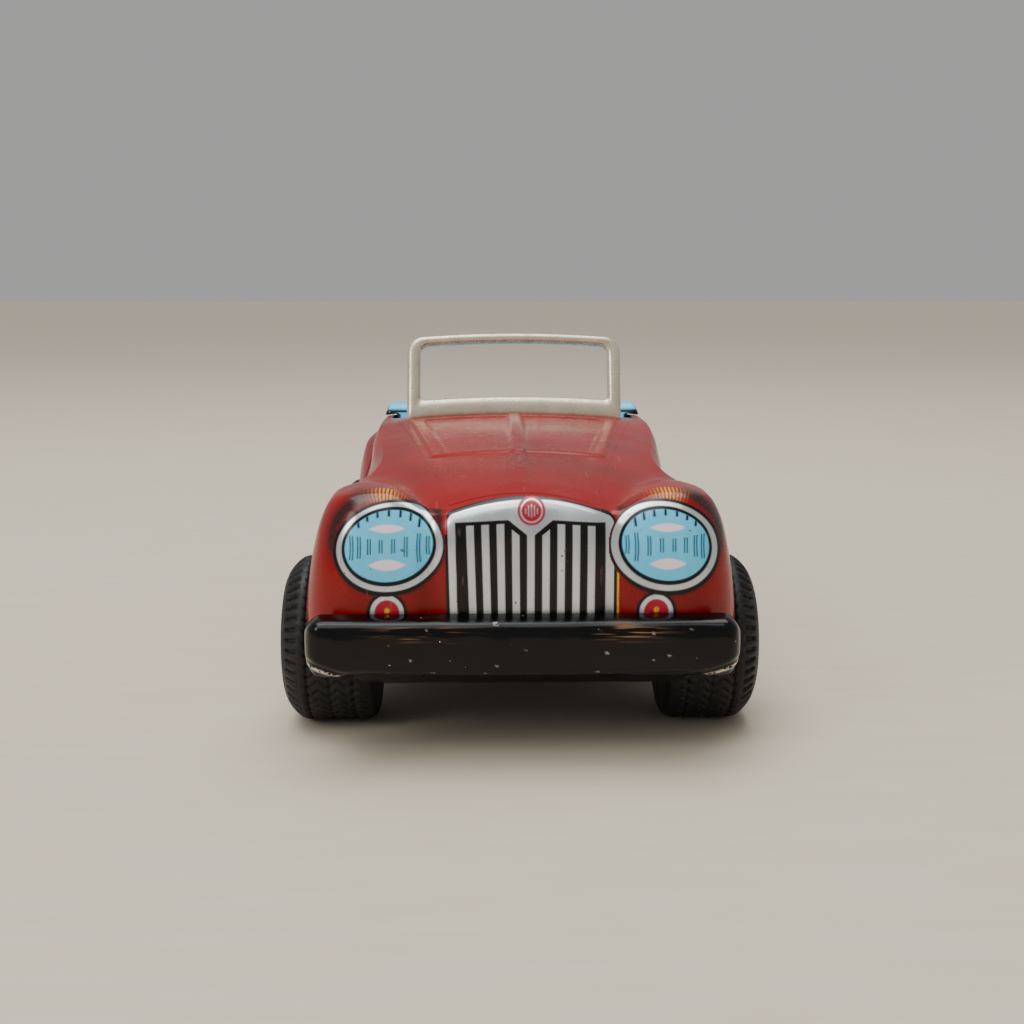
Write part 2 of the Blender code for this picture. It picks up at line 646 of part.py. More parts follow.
def tyre_profile(side):
    bore = 7.5
    section = [(TYRE_INNER, bore), (TYRE_INNER, 11.9), (TYRE_INNER + 0.9, 12.8), (TYRE_INNER + 2.2, WHEEL_RADIUS),
               (33.6, WHEEL_RADIUS), (34.6, 12.5), (35.8, 11.2), (TYRE_OUTER, 9.6), (TYRE_OUTER - 0.3, bore)]
    return [(side * x, r) for x, r in section]


def hub_profile(side):
    bore = AXLE_RADIUS + FIT
    section = [(21.9, bore), (21.9, 2.4), (28.6, 2.6), (28.6, 6.4), (23.0, 6.4), (23.0, 7.4), (35.2, 7.4),
               (35.2, 6.4), (30.0, 6.4), (30.0, bore)]
    return [(side * x, r) for x, r in section]


def cap_profile(side):
    section = [(35.3, 0), (35.3, 6.9), (35.7, 6.9), (36.1, 5.6), (36.25, 3.2), (36.5, 1.6), (36.55, 0)]
    return [(side * x, r) for x, r in section]


def wheelset(name, centre, parent):
    for label, side in (("left", -1), ("right", 1)):
        add_object(f"{name}_tyre_{label}", lathe(tyre_profile(side), 32), "rubber", parent)
        add_object(f"{name}_hub_{label}", lathe(hub_profile(side), 20), "wheel_plastic", parent)
        add_object(f"{name}_hubcap_{label}", lathe(cap_profile(side), 20, bore_closed=False), "plated", parent)
    add_object(f"{name}_axle", rod(-34.6, 34.6, AXLE_RADIUS, 24), "bare_steel", parent)


def front_bracket():
    """A strap across the pan whose two turned-up ears carry the front axle."""
    ear_outer, thick = 20.3, 0.7
    low = PAN_FLOOR + PAN_TIN + FIT
    ear = [(17.0, low), (25.0, low), (25.0, 13.2)] + [
        (FRONT_AXLE_S + 4.0 * math.cos(a), 13.2 + 3.4 * math.sin(a))
        for a in (math.pi * k / 8 for k in range(1, 8))] + [(17.0, 13.2)]
    bm = prism(ear, -ear_outer, ear_outer, (NOSE, 0))
    made = add_object("front_axle_bracket", bm, "bare_steel")
    inside = (-ear_outer + thick, 10.0, low + thick), (ear_outer - thick, 32.0, 30.0)
    boolean(made, box_cutter("cut_bracket_inside", *inside))
    hole(made, "cut_bracket_bore", AXLE_RADIUS + RUNNING, -30.0, 30.0, FRONT_AXLE, 24)
    for label, side in (("left", -1), ("right", 1)):
        x = side * (ear_outer + 0.45)
        ring = [(x - 0.3, AXLE_RADIUS + RUNNING + 0.02), (x + 0.3, AXLE_RADIUS + RUNNING + 0.02), (x + 0.3, 2.2),
                (x - 0.3, 2.2)]
        bm = lathe(ring, 24)
        bmesh.ops.translate(bm, verts=bm.verts, vec=at(0, *FRONT_AXLE))
        add_object(f"front_axle_washer_{label}", bm, "bare_steel")


# ---------------------------------------------------------------- friction motor

PILLARS = {"front": (85.6, 14.0), "top": (100.4, 27.4), "rear": (113.4, 20.4)}
PLATE_OUTLINE = [(82.8, 10.0), (91.0, 10.0), (91.6, 13.0), (100.5, 13.0), (102.0, 10.0), (117.0, 10.0),
                 (117.0, 21.0), (113.8, 24.0), (104.0, 30.0), (96.6, 30.0), (88.0, 26.0), (82.8, 20.0)]


def motor_plates():
    for label, side in (("left", -1), ("right", 1)):
        x0, x1 = sorted((side * PLATE_INNER, side * (PLATE_INNER + PLATE_THICK)))
        made = add_object(f"motor_plate_{label}", prism(PLATE_OUTLINE, x0, x1, (NOSE, 0)), "bare_steel")
        for station, length in ((84.0, 6.5), (114.2, 2.6)):
            foot_x = sorted((side * (PLATE_INNER + 0.3), side * (PLATE_INNER - 2.6)))
            low = (foot_x[0], station, 10.0)
            high = (foot_x[1], station + length, 10.8)
            boolean(made, box_cutter(f"join_foot_{label}_{int(station)}", low, high), "UNION")
        hole(made, f"cut_axle_bore_{label}", AXLE_RADIUS + RUNNING, -12, 12, REAR_AXLE, 24)
        hole(made, f"cut_lay_bore_{label}", ARBOR_RADIUS + RUNNING, -12, 12, LAY_ARBOR)
        hole(made, f"cut_fly_bore_{label}", ARBOR_RADIUS + RUNNING, -12, 12, FLY_ARBOR)
        for name, centre in PILLARS.items():
            hole(made, f"cut_{name}_pillar_hole_{label}", 0.7 + FIT, -12, 12, centre, 16)
    reach = PLATE_INNER + PLATE_THICK + 0.45
    shoulder = PLATE_INNER - FIT
    for name, centre in PILLARS.items():
        bm = lathe([(-reach, 0), (-reach, 0.7), (-shoulder, 0.7), (-shoulder, 1.25), (shoulder, 1.25),
                    (shoulder, 0.7), (reach, 0.7), (reach, 0)], 16, bore_closed=False)
        bmesh.ops.translate(bm, verts=bm.verts, vec=at(0, *centre))
        add_object(f"motor_pillar_{name}", bm, "bare_steel")


def gear_outline(teeth, addendum, dedendum, flank_steps, turn):
    """Involute teeth, thinned for backlash; one tooth is centred on the turn angle."""
    backlash, pressure = 0.10, math.radians(20)
    pitch = MODULE * teeth / 2
    base = pitch * math.cos(pressure)
    root, tip = pitch - dedendum * MODULE, pitch + addendum * MODULE
    half_tooth = math.pi / (2 * teeth) - backlash / (2 * pitch)

    def involute(angle):
        return math.tan(angle) - angle

    def half_angle(radius):
        return half_tooth + involute(pressure) - involute(math.acos(min(1.0, base / max(radius, base))))

    radii = [root + (tip - root) * k / flank_steps for k in range(flank_steps + 1)]
    outline = []
    for tooth in range(teeth):
        middle = turn + 2 * math.pi * tooth / teeth
        flank = [(r, middle - half_angle(r)) for r in radii] + [(r, middle + half_angle(r)) for r in reversed(radii)]
        outline += [(r * math.cos(a), r * math.sin(a)) for r, a in flank]
    return outline


def gear(name, x, turn, bore, parent):
    outline = gear_outline(GEAR_TEETH, 0.8, 1.1, 1, turn)
    made = add_object(name, prism(outline, x - GEAR_THICK / 2, x + GEAR_THICK / 2), "brass", parent)
    hole(made, f"cut_{name}_bore", bore, x - 2, x + 2, (0, 0), 20, parent)


def arbor(name, x0, x1, pinion_x, turn, parent):
    """A turned arbor with its pinion cut from the same bar."""
    made = add_object(name, rod(x0, x1, ARBOR_RADIUS, 16, 0.15), "bare_steel", parent)
    outline = gear_outline(PINION_TEETH, 0.8, 1.15, 2, turn)
    leaves = add_object(f"join_{name}_leaves", prism(outline, pinion_x - 1.3, pinion_x + 1.3), "bare_steel", parent)
    boolean(made, leaves, "UNION")


def gear_train(rear, lay, fly):
    """Each pair is set with a tooth of one facing a space of the other along the line of centres."""
    half_space = math.pi / PINION_TEETH
    gear("axle_gear", AXLE_GEAR_X, LAY_ANGLE, AXLE_RADIUS + FIT, rear)
    reach = PLATE_INNER + PLATE_THICK + 0.2
    arbor("lay_arbor", -reach, reach, AXLE_GEAR_X, LAY_ANGLE + math.pi + half_space, lay)
    gear("lay_gear", LAY_GEAR_X, FLY_ANGLE, ARBOR_RADIUS + FIT, lay)
    start = PLATE_INNER + PLATE_THICK + FLYWHEEL_GAP
    end = start + FLYWHEEL_THICK
    arbor("flywheel_arbor", -end - 0.4, end + 0.4, LAY_GEAR_X, FLY_ANGLE + math.pi + half_space, fly)
    for label, side in (("left", -1), ("right", 1)):
        bore = ARBOR_RADIUS + FIT
        disc = [(start, bore), (start, FLYWHEEL_RADIUS - 0.4), (start + 0.4, FLYWHEEL_RADIUS),
                (end - 0.4, FLYWHEEL_RADIUS), (end, FLYWHEEL_RADIUS - 0.4), (end, bore)]
        add_object(f"flywheel_{label}", lathe([(side * x, r) for x, r in disc], 28), "lead", fly)


def build():
    clear_scene()
    body_shell()
    base_pan()
    windscreen_frame()
    seat_pressing()
    steering()
    front_bracket()
    motor_plates()
    front = axle_empty("front_wheelset", FRONT_AXLE)
    rear = axle_empty("rear_wheelset", REAR_AXLE)
    lay = axle_empty("lay_train", LAY_ARBOR)
    fly = axle_empty("flywheel_train", FLY_ARBOR)
    wheelset("front", FRONT_AXLE, front)
    wheelset("rear", REAR_AXLE, rear)
    gear_train(rear, lay, fly)


build()
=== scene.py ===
"""Looks of the friction tin car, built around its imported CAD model.

Lengths are in millimetres until a mesh is made: x runs across the car, s back from the nose and z up from
the ground.  Prints on the tin are masks computed from a point's place, which the materials turn into ink.
"""
import math

import bmesh
import bpy
import numpy as np
from mathutils import Matrix, Vector


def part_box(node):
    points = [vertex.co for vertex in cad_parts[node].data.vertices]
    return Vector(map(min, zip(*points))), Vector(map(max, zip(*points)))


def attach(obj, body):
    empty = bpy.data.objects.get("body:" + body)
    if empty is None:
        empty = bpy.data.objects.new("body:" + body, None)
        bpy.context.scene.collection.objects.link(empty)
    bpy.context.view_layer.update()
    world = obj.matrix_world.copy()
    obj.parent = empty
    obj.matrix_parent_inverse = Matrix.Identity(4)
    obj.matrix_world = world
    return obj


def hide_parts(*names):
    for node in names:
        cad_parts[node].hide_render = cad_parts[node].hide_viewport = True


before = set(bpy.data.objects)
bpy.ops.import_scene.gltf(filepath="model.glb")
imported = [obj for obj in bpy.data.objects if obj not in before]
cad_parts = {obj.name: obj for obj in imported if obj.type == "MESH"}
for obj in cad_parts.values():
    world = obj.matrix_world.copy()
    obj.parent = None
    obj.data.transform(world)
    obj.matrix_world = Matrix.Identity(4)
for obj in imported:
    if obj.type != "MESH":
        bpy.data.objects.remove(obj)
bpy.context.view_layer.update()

MM = 0.001


def middle(node):
    low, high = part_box(node)
    return (low + high) / 2 / MM


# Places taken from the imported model
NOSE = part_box("body_shell")[0].y / MM
BODY_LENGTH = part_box("body_shell")[1].y / MM - NOSE
FRONT_AXLE = (middle("front_axle").y - NOSE, middle("front_axle").z)
REAR_AXLE = (middle("rear_axle").y - NOSE, middle("rear_axle").z)
WHEEL_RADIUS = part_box("front_tyre_right")[1].z / MM - FRONT_AXLE[1]
TYRE_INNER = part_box("front_tyre_right")[0].x / MM
TYRE_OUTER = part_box("front_tyre_right")[1].x / MM

# The body pressing, as in the CAD model
BODY_HALF = 32.2
BODY_BOTTOM = 13.1
TIN = 0.4
PAN_TIN = 0.5
BUMPER_DEPTH = 4.3
BUMPER_CHIPS = 16
ARCH_RADIUS = 15.0
COCKPIT_HALF, COCKPIT_FRONT, COCKPIT_REAR, COCKPIT_CORNER = 23.6, 66.5, 85.5, 4.5
PAN_FLOOR, PAN_RIM, PAD_DEPTH = 9.4, 12.4, 0.8
WINDSCREEN_S = 62.0
WINDSCREEN_LEAN = math.radians(18)
TAB_STATIONS = (44.0, 82.0)
PRINT_LIFT = 0.055


# ---------------------------------------------------------------- materials

def ink(red, green, blue):
    """A colour given as it looks on a screen, 0 to 255, in linear light."""
    def linear(value):
        value /= 255.0
        return value / 12.92 if value <= 0.04045 else ((value + 0.055) / 1.055) ** 2.4
    return (linear(red), linear(green), linear(blue), 1.0)


class Net:
    """A material's node tree, built a node at a time."""

    def __init__(self, name, **constants):
        self.material = bpy.data.materials.new(name)
        self.material.use_nodes = True
        self.tree = self.material.node_tree
        self.shader = self.tree.nodes["Principled BSDF"]
        for key, value in constants.items():
            self.shader.inputs[key.replace("_", " ")].default_value = value
        self.place = self.node("ShaderNodeTexCoord").outputs["Object"]

    def feed(self, socket, value):
        if isinstance(value, bpy.types.NodeSocket):
            self.tree.links.new(value, socket)
        else:
            socket.default_value = value

    def node(self, kind, inputs=None, **settings):
        made = self.tree.nodes.new(kind)
        for key, value in settings.items():
            setattr(made, key, value)
        for key, value in (inputs or {}).items():
            self.feed(made.inputs[key], value)
        return made

    def math(self, operation, a, b=0.0, clamp=False):
        return self.node("ShaderNodeMath", {0: a, 1: b}, operation=operation, use_clamp=clamp).outputs[0]

    def noise(self, per_metre, detail=3.0, rough=0.5, stretch=None):
        vector = self.place
        if stretch is not None:
            vector = self.node("ShaderNodeMapping", {"Vector": vector, "Scale": stretch}).outputs[0]
        return self.node("ShaderNodeTexNoise", {"Vector": vector, "Scale": per_metre, "Detail": detail,
                                                "Roughness": rough}).outputs[0]

    def step(self, value, low, high, start=0.0, end=1.0):
        return self.node("ShaderNodeMapRange", {0: value, 1: low, 2: high, 3: start, 4: end},
                         interpolation_type="SMOOTHSTEP").outputs[0]

    def mix(self, factor, a, b):
        return self.node("ShaderNodeMix", {0: factor, 6: a, 7: b}, data_type="RGBA").outputs[2]

    def mask(self, name):
        return self.node("ShaderNodeAttribute", attribute_name=name).outputs["Fac"]

    def bump(self, height, strength, distance):
        made = self.node("ShaderNodeBump", {"Height": height, "Strength": strength, "Distance": distance})
        self.tree.links.new(made.outputs[0], self.shader.inputs["Normal"])

    def set(self, **sockets):
        for key, value in sockets.items():
            self.feed(self.shader.inputs[key.replace("_", " ")], value)
        return self.material


def scratches(net, per_metre, stretch, low=0.66, high=0.72):
    """Thin broken lines."""
    return net.step(net.noise(per_metre, 1.0, 0.4, stretch), low, high)


def litho(name, ground, deep):
    """Varnished print on tin: inks laid over the ground colour where the piece's masks say so."""
    net = Net(name, Coat_Weight=0.08, Coat_Roughness=0.1, Specular_IOR_Level=0.30)
    cloud = net.step(net.noise(70.0, 3.0), 0.35, 0.7)
    colour = net.mix(cloud, ground, deep)
    grain = net.noise(5200.0, 2.0, 0.6)
    stipple = net.math("MULTIPLY", net.mask("grey"), net.step(grain, 0.28, 0.48), clamp=True)
    colour = net.mix(stipple, colour, ink(30, 22, 21))
    silver = net.mask("silver")
    sheen = net.noise(230.0, 2.0, 0.5, (1.0, 1.0, 0.35))
    under = net.math("ADD", net.math("ADD", silver, net.mask("black")), net.mask("blue"), clamp=True)
    colour = net.mix(under, colour, ink(5, 4, 4))
    colour = net.mix(silver, colour, net.mix(sheen, ink(182, 187, 192), ink(236, 240, 242)))
    colour = net.mix(net.mask("blue"), colour,
                     net.mix(net.noise(900.0), ink(84, 190, 232), ink(112, 206, 240)))
    colour = net.mix(net.mask("white"), colour, ink(240, 222, 230))
    colour = net.mix(net.mask("black"), colour, net.mix(net.noise(400.0), ink(3, 3, 3), ink(10, 8, 8)))
    colour = net.mix(net.mask("crimson"), colour, ink(172, 10, 44))
    colour = net.mix(net.math("MULTIPLY", net.mask("yellow"), net.step(grain, 0.25, 0.5)), colour,
                     ink(245, 176, 24))
    fine = scratches(net, 260.0, (6.0, 0.5, 1.0), 0.72, 0.80)
    colour = net.mix(net.math("MULTIPLY", fine, 0.12), colour, ink(190, 120, 120))
    specks = net.step(net.noise(1500.0, 0.0), 0.84, 0.87)
    worn = net.math("MULTIPLY", net.mask("worn"), net.step(net.noise(1400.0, 4.0, 0.7), 0.50, 0.60),
                    clamp=True)
    chipped = net.math("MAXIMUM", net.math("MULTIPLY", specks, 0.8), worn)
    colour = net.mix(chipped, colour, ink(92, 52, 50))
    bare = net.math("MULTIPLY", net.mask("worn"), net.step(net.noise(1900.0, 3.0, 0.6), 0.62, 0.68),
                    clamp=True)
    colour = net.mix(bare, colour, ink(190, 176, 170))
    metal = net.math("MAXIMUM", net.math("MULTIPLY", silver, 0.75), net.math("MULTIPLY", bare, 0.8))
    metal = net.math("MULTIPLY", metal, net.math("SUBTRACT", 1.0, net.mask("black")), clamp=True)
    smear = net.step(net.noise(120.0, 4.0, 0.6), 0.3, 0.75, 0.20, 0.34)
    rough = net.math("ADD", smear, net.math("MULTIPLY", chipped, 0.35))
    height = net.math("ADD", net.math("MULTIPLY", net.noise(1100.0, 2.0), 0.16),
                      net.math("MULTIPLY", chipped, -0.6))
    height = net.math("ADD", height, net.math("MULTIPLY", net.noise(60.0, 2.0), 0.8))
    net.bump(height, 0.35, 0.00012)
    return net.set(Base_Color=colour, Metallic=metal, Roughness=rough)


def lacquered_tin(name):
    """The unprinted side of the sheet, under a thin gold lacquer."""
    net = Net(name)
    streak = net.noise(160.0, 4.0, 0.6, (1.0, 7.0, 1.0))
    colour = net.mix(streak, ink(150, 138, 112), ink(206, 194, 164))
    stain = net.step(net.noise(90.0, 5.0, 0.7), 0.56, 0.74)
    colour = net.mix(net.math("MULTIPLY", stain, 0.6), colour, ink(96, 70, 46))
    net.bump(net.noise(1800.0, 3.0), 0.2, 0.00008)
    return net.set(Base_Color=colour, Metallic=0.9, Roughness=net.step(streak, 0.2, 0.8, 0.28, 0.48))


def enamel(name):
    """Glossy stoved black, chipped to bare tin at the masks and scuffed brown where it has been rubbed."""
    net = Net(name, Coat_Weight=0.06, Coat_Roughness=0.08, Specular_IOR_Level=0.22)
    colour = net.mix(net.noise(120.0, 4.0), ink(2, 2, 3), ink(9, 8, 8))
    dust = net.step(net.noise(420.0, 5.0, 0.75), 0.58, 0.82)
    colour = net.mix(net.math("MULTIPLY", dust, 0.10), colour, ink(80, 68, 58))
    rubbed = net.math("MULTIPLY", net.mask("rubbed"), scratches(net, 330.0, (0.5, 1.0, 9.0), 0.52, 0.66))
    colour = net.mix(rubbed, colour, ink(150, 104, 70))
    spots = net.math("MULTIPLY", net.mask("bare"), net.step(net.noise(2100.0, 3.0, 0.6), 0.42, 0.52),
                     clamp=True)
    loose = net.step(net.noise(1400.0, 0.0), 0.85, 0.87)
    bare = net.math("MAXIMUM", spots, loose)
    colour = net.mix(bare, colour, ink(214, 206, 194))
    rough = net.math("ADD", net.step(net.noise(85.0, 4.0, 0.6), 0.3, 0.75, 0.10, 0.26),
                     net.math("MULTIPLY", dust, 0.08))
    height = net.math("ADD", net.math("MULTIPLY", net.noise(700.0, 2.0), 0.3),
                      net.math("MULTIPLY", bare, -0.8))
    height = net.math("ADD", height, net.math("MULTIPLY", net.noise(140.0, 2.0), 1.2))
    net.bump(height, 0.4, 0.00015)
    return net.set(Base_Color=colour, Metallic=net.math("MULTIPLY", bare, 0.9), Roughness=rough)


def nickel(name, light=(228, 219, 196), dark=(196, 186, 160)):
    """Warm plating with a cloudy, finely pitted skin."""
    net = Net(name)
    cloud = net.noise(330.0, 4.0, 0.65)
    colour = net.mix(net.step(cloud, 0.2, 0.8), ink(*dark), ink(*light))
    pits = net.step(net.noise(2400.0, 2.0, 0.6), 0.60, 0.70)
    colour = net.mix(net.math("MULTIPLY", pits, 0.40), colour, ink(104, 90, 66))
    stain = net.step(net.noise(150.0, 5.0, 0.7), 0.60, 0.74)
    colour = net.mix(net.math("MULTIPLY", stain, 0.22), colour, ink(112, 98, 70))
    rough = net.math("ADD", net.step(cloud, 0.3, 0.7, 0.34, 0.22), net.math("MULTIPLY", pits, 0.25))
    net.bump(net.math("SUBTRACT", net.noise(900.0, 3.0), net.math("MULTIPLY", pits, 0.5)), 0.3, 0.00010)
    return net.set(Base_Color=colour, Metallic=0.62, Roughness=rough)


def rubber(name):
    net = Net(name, Specular_IOR_Level=0.35)
    cloud = net.noise(260.0, 4.0, 0.6)
    colour = net.mix(cloud, ink(9, 9, 10), ink(24, 24, 25))
    dust = net.step(net.noise(750.0, 5.0, 0.8), 0.56, 0.78)
    colour = net.mix(net.math("MULTIPLY", dust, 0.22), colour, ink(88, 80, 72))
    net.bump(net.noise(3000.0, 3.0, 0.7), 0.35, 0.00012)
    return net.set(Base_Color=colour, Roughness=net.step(cloud, 0.3, 0.7, 0.44, 0.66))


def moulded(name, light, dark, rough=0.4):
    net = Net(name, Specular_IOR_Level=0.45)
    cloud = net.noise(300.0, 4.0, 0.55)
    colour = net.mix(cloud, ink(*dark), ink(*light))
    grime = net.step(net.noise(620.0, 5.0, 0.7), 0.60, 0.80)
    colour = net.mix(net.math("MULTIPLY", grime, 0.4), colour, ink(70, 58, 44))
    net.bump(net.noise(2200.0, 3.0), 0.2, 0.00008)
    return net.set(Base_Color=colour, Roughness=net.step(cloud, 0.2, 0.8, rough, rough + 0.18))


def machined(name, light, dark, grain=(1.0, 12.0, 12.0), rust=0.3):
    """Drawn or stamped metal with its grain along X and a little oxide."""
    net = Net(name)
    lines = net.noise(500.0, 3.0, 0.6, grain)
    colour = net.mix(lines, ink(*dark), ink(*light))
    oxide = net.step(net.noise(380.0, 6.0, 0.75), 0.58, 0.76)
    colour = net.mix(net.math("MULTIPLY", oxide, rust), colour, ink(92, 58, 36))
    rough = net.math("ADD", net.step(lines, 0.2, 0.8, 0.26, 0.42), net.math("MULTIPLY", oxide, 0.3))
    net.bump(lines, 0.25, 0.00006)
    return net.set(Base_Color=colour, Metallic=1.0, Roughness=rough)


RED = litho("red_print", ink(140, 0, 3), ink(122, 0, 1))
BLUE = litho("blue_print", ink(104, 206, 246), ink(84, 194, 240))
LACQUER = lacquered_tin("lacquered_tin")
ENAMEL = enamel("black_enamel")
NICKEL = nickel("warm_nickel")
CAP_NICKEL = nickel("cap_nickel", (218, 218, 214), (190, 190, 186))
RUBBER = rubber("tyre_rubber")
HUB = moulded("hub_plastic", (34, 34, 36), (18, 18, 19))
CREAM = moulded("cream_plastic", (232, 222, 196), (208, 194, 160), 0.25)
STEEL = machined("tinned_steel", (190, 190, 188), (120, 120, 118))
BRASS = machined("gear_brass", (206, 168, 92), (150, 112, 52), (3.0, 3.0, 3.0))
CAST = machined("cast_metal", (128, 130, 134), (74, 76, 80), (2.0, 2.0, 2.0), 0.15)


# ---------------------------------------------------------------- mesh tools

def at(x, s, z):
    return Vector((x, s + NOSE, z)) * MM


def settle(made, body, slot, *stands_for):
    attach(made, body)
    if stands_for:
        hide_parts(*stands_for)
    return made


def link(name, mesh, materials, angle=35.0):
    mesh.shade_smooth()
    if angle is not None:
        mesh.set_sharp_from_angle(angle=math.radians(angle))
    made = bpy.data.objects.new(name, mesh)
    bpy.context.scene.collection.objects.link(made)
    for item in materials:
        made.data.materials.append(item)
    return made


def from_bmesh(name, bm, materials, angle=35.0, toward=None):
    bmesh.ops.recalc_face_normals(bm, faces=bm.faces)
    bm.normal_update()
    if toward is not None:
        lean = sum((face.normal * face.calc_area() for face in bm.faces), Vector())
        if lean.dot(Vector(toward)) < 0:
            bmesh.ops.reverse_faces(bm, faces=bm.faces)
    mesh = bpy.data.meshes.new(name)
    bm.to_mesh(mesh)
    bm.free()
    return link(name, mesh, materials, angle)


def grid_mesh(name, points, closed=(False, False), keep=None):
    """A mesh through a (rows, columns, 3) array of millimetre points in car coordinates; keep drops faces."""
    rows, columns = points.shape[:2]
    index = np.arange(rows * columns).reshape(rows, columns)
    if closed[0]:
        index = np.vstack([index, index[:1]])
    if closed[1]:
        index = np.hstack([index, index[:, :1]])
    faces = np.stack([index[:-1, :-1], index[:-1, 1:], index[1:, 1:], index[1:, :-1]], axis=-1).reshape(-1, 4)
    flat = points.reshape(-1, 3)
    used = np.arange(len(flat))
    if keep is not None:
        faces = faces[keep.reshape(-1)[faces].any(axis=1)]
        used, faces = np.unique(faces, return_inverse=True)
        faces = faces.reshape(-1, 4)
    place = (flat[used] + np.array([0.0, NOSE, 0.0])) * MM
    mesh = bpy.data.meshes.new(name)
    mesh.from_pydata(place.tolist(), [], faces.tolist())
    return mesh, used


def face_outward(mesh):
    """Turn the faces of a closed mesh outward."""
    bm = bmesh.new()
    bm.from_mesh(mesh)
    bmesh.ops.recalc_face_normals(bm, faces=bm.faces)
    bm.to_mesh(mesh)
    bm.free()


def normals_of(points):
    across = np.gradient(points, axis=1)
    along_rows = np.gradient(points, axis=0)
    normal = np.cross(across, along_rows)
    return normal / np.maximum(np.linalg.norm(normal, axis=-1, keepdims=True), 1e-9)


def write_masks(mesh, masks):
    """Store each mask on the mesh's points, for the materials to read."""
    for key, value in masks.items():
        layer = mesh.attributes.new(key, "FLOAT", "POINT")
        layer.data.foreach_set("value", np.asarray(value, np.float32).reshape(-1))


def printed(masks):
    """Where a sheet is kept: under any solid ink, and under the soft shading down to a trace."""
    soft = masks.get("grey", 0) + masks.get("yellow", 0)
    solid = sum(value for key, value in masks.items() if key not in ("grey", "yellow"))
    return (solid > 0.35) | (soft > 0.03)


def print_sheet(name, points, outward, paint, material, slot, lift=PRINT_LIFT, trim=True):
    """The printed part of a surface, finely divided, with its inks as masks."""
    normal = normals_of(points)
    if float((normal * np.asarray(outward, float)).sum(axis=-1).mean()) < 0:
        normal = -normal
        points, normal = points[:, ::-1], normal[:, ::-1]
    masks = paint(points[..., 0], points[..., 1], points[..., 2])
    mesh, used = grid_mesh(name, points + lift * normal, keep=printed(masks) if trim else None)
    write_masks(mesh, {key: np.clip(value, 0, 1).reshape(-1)[used] for key, value in masks.items()})
    made = link(name, mesh, [material], None)
    return settle(made, "car_body", slot)


def lathe(profile, segments, bore_closed=True):
    """A solid turned about the X axis from a closed (x, radius) outline; a radius of zero is on the axis."""
    bm = bmesh.new()
    rings = []
    for x, radius in profile:
        if radius == 0:
            rings.append([bm.verts.new((x * MM, 0, 0))])
            continue
        angles = [2 * math.pi * k / segments for k in range(segments)]
        rings.append([bm.verts.new((x * MM, radius * math.cos(a) * MM,
                                    radius * math.sin(a) * MM)) for a in angles])
    pairs = list(zip(rings, rings[1:]))
    if bore_closed:
        pairs.append((rings[-1], rings[0]))
    for first, second in pairs:
        for k in range(segments):
            n = (k + 1) % segments
            if len(first) == 1:
                bm.faces.new((first[0], second[k], second[n]))
            elif len(second) == 1:
                bm.faces.new((first[k], first[n], second[0]))
            else:
                bm.faces.new((first[k], first[n], second[n], second[k]))
    return bm


def rounded_profile(points, radius, steps=3):
    """An outline with its corners cut to short arcs; points on the axis stay."""
    made = []
    count = len(points)
    for i, point in enumerate(points):
        if point[1] == 0:
            made.append(point)
            continue
        here = np.array(point, float)
        before, after = np.array(points[i - 1], float), np.array(points[(i + 1) % count], float)
        a, b = before - here, after - here
        cut = min(radius, 0.4 * np.linalg.norm(a), 0.4 * np.linalg.norm(b))
        start, end = here + a / np.linalg.norm(a) * cut, here + b / np.linalg.norm(b) * cut
        for k in range(steps + 1):
            t = k / steps
            made.append(tuple((1 - t) ** 2 * start + 2 * t * (1 - t) * here + t * t * end))
    return made


def freeze(made):
    """Applies the modifiers, then removes the cutters."""
    tools = [m.object for m in made.modifiers if m.type == "BOOLEAN"]
    evaluated = made.evaluated_get(bpy.context.evaluated_depsgraph_get())
    mesh = bpy.data.meshes.new_from_object(evaluated, preserve_all_data_layers=True,
                                           depsgraph=bpy.context.evaluated_depsgraph_get())
    made.modifiers.clear()
    made.data = mesh
    for tool in tools:
        bpy.data.objects.remove(tool, do_unlink=True)
    mesh.set_sharp_from_angle(angle=math.radians(35))
    return made


def cut(target, bm):
    tool = from_bmesh("cutter", bm, [LACQUER], None)
    tool.hide_render = True
    tool.display_type = "WIRE"
    made = target.modifiers.new("cut", "BOOLEAN")
    made.operation = "DIFFERENCE"
    made.solver = "EXACT"
    made.material_mode = "TRANSFER"
    made.object = tool


def add_box(bm, low, high):
    """Adds a box given by its corners in car coordinates."""
    low, high = at(*low), at(*high)
    made = bmesh.ops.create_cube(bm, size=1.0)["verts"]
    for vert in made:
        vert.co = Vector(a + (b - a) * (c + 0.5) for a, b, c in zip(low, high, vert.co))


def add_prism(bm, outline, x0, x1):
    """Adds an outline of (s, z) points, extruded across the car."""
    ends = [[bm.verts.new(at(x, s, z)) for s, z in outline] for x in (x0, x1)]
    bm.faces.new(ends[0])
    bm.faces.new(list(reversed(ends[1])))
    for i in range(len(outline)):
        j = (i + 1) % len(outline)
        bm.faces.new((ends[0][i], ends[1][i], ends[1][j], ends[0][j]))


def circle(centre, radius, segments):
    angles = [2 * math.pi * k / segments for k in range(segments)]
    return [(centre[0] + radius * math.cos(a), centre[1] + radius * math.sin(a)) for a in angles]


# ---------------------------------------------------------------- body surface

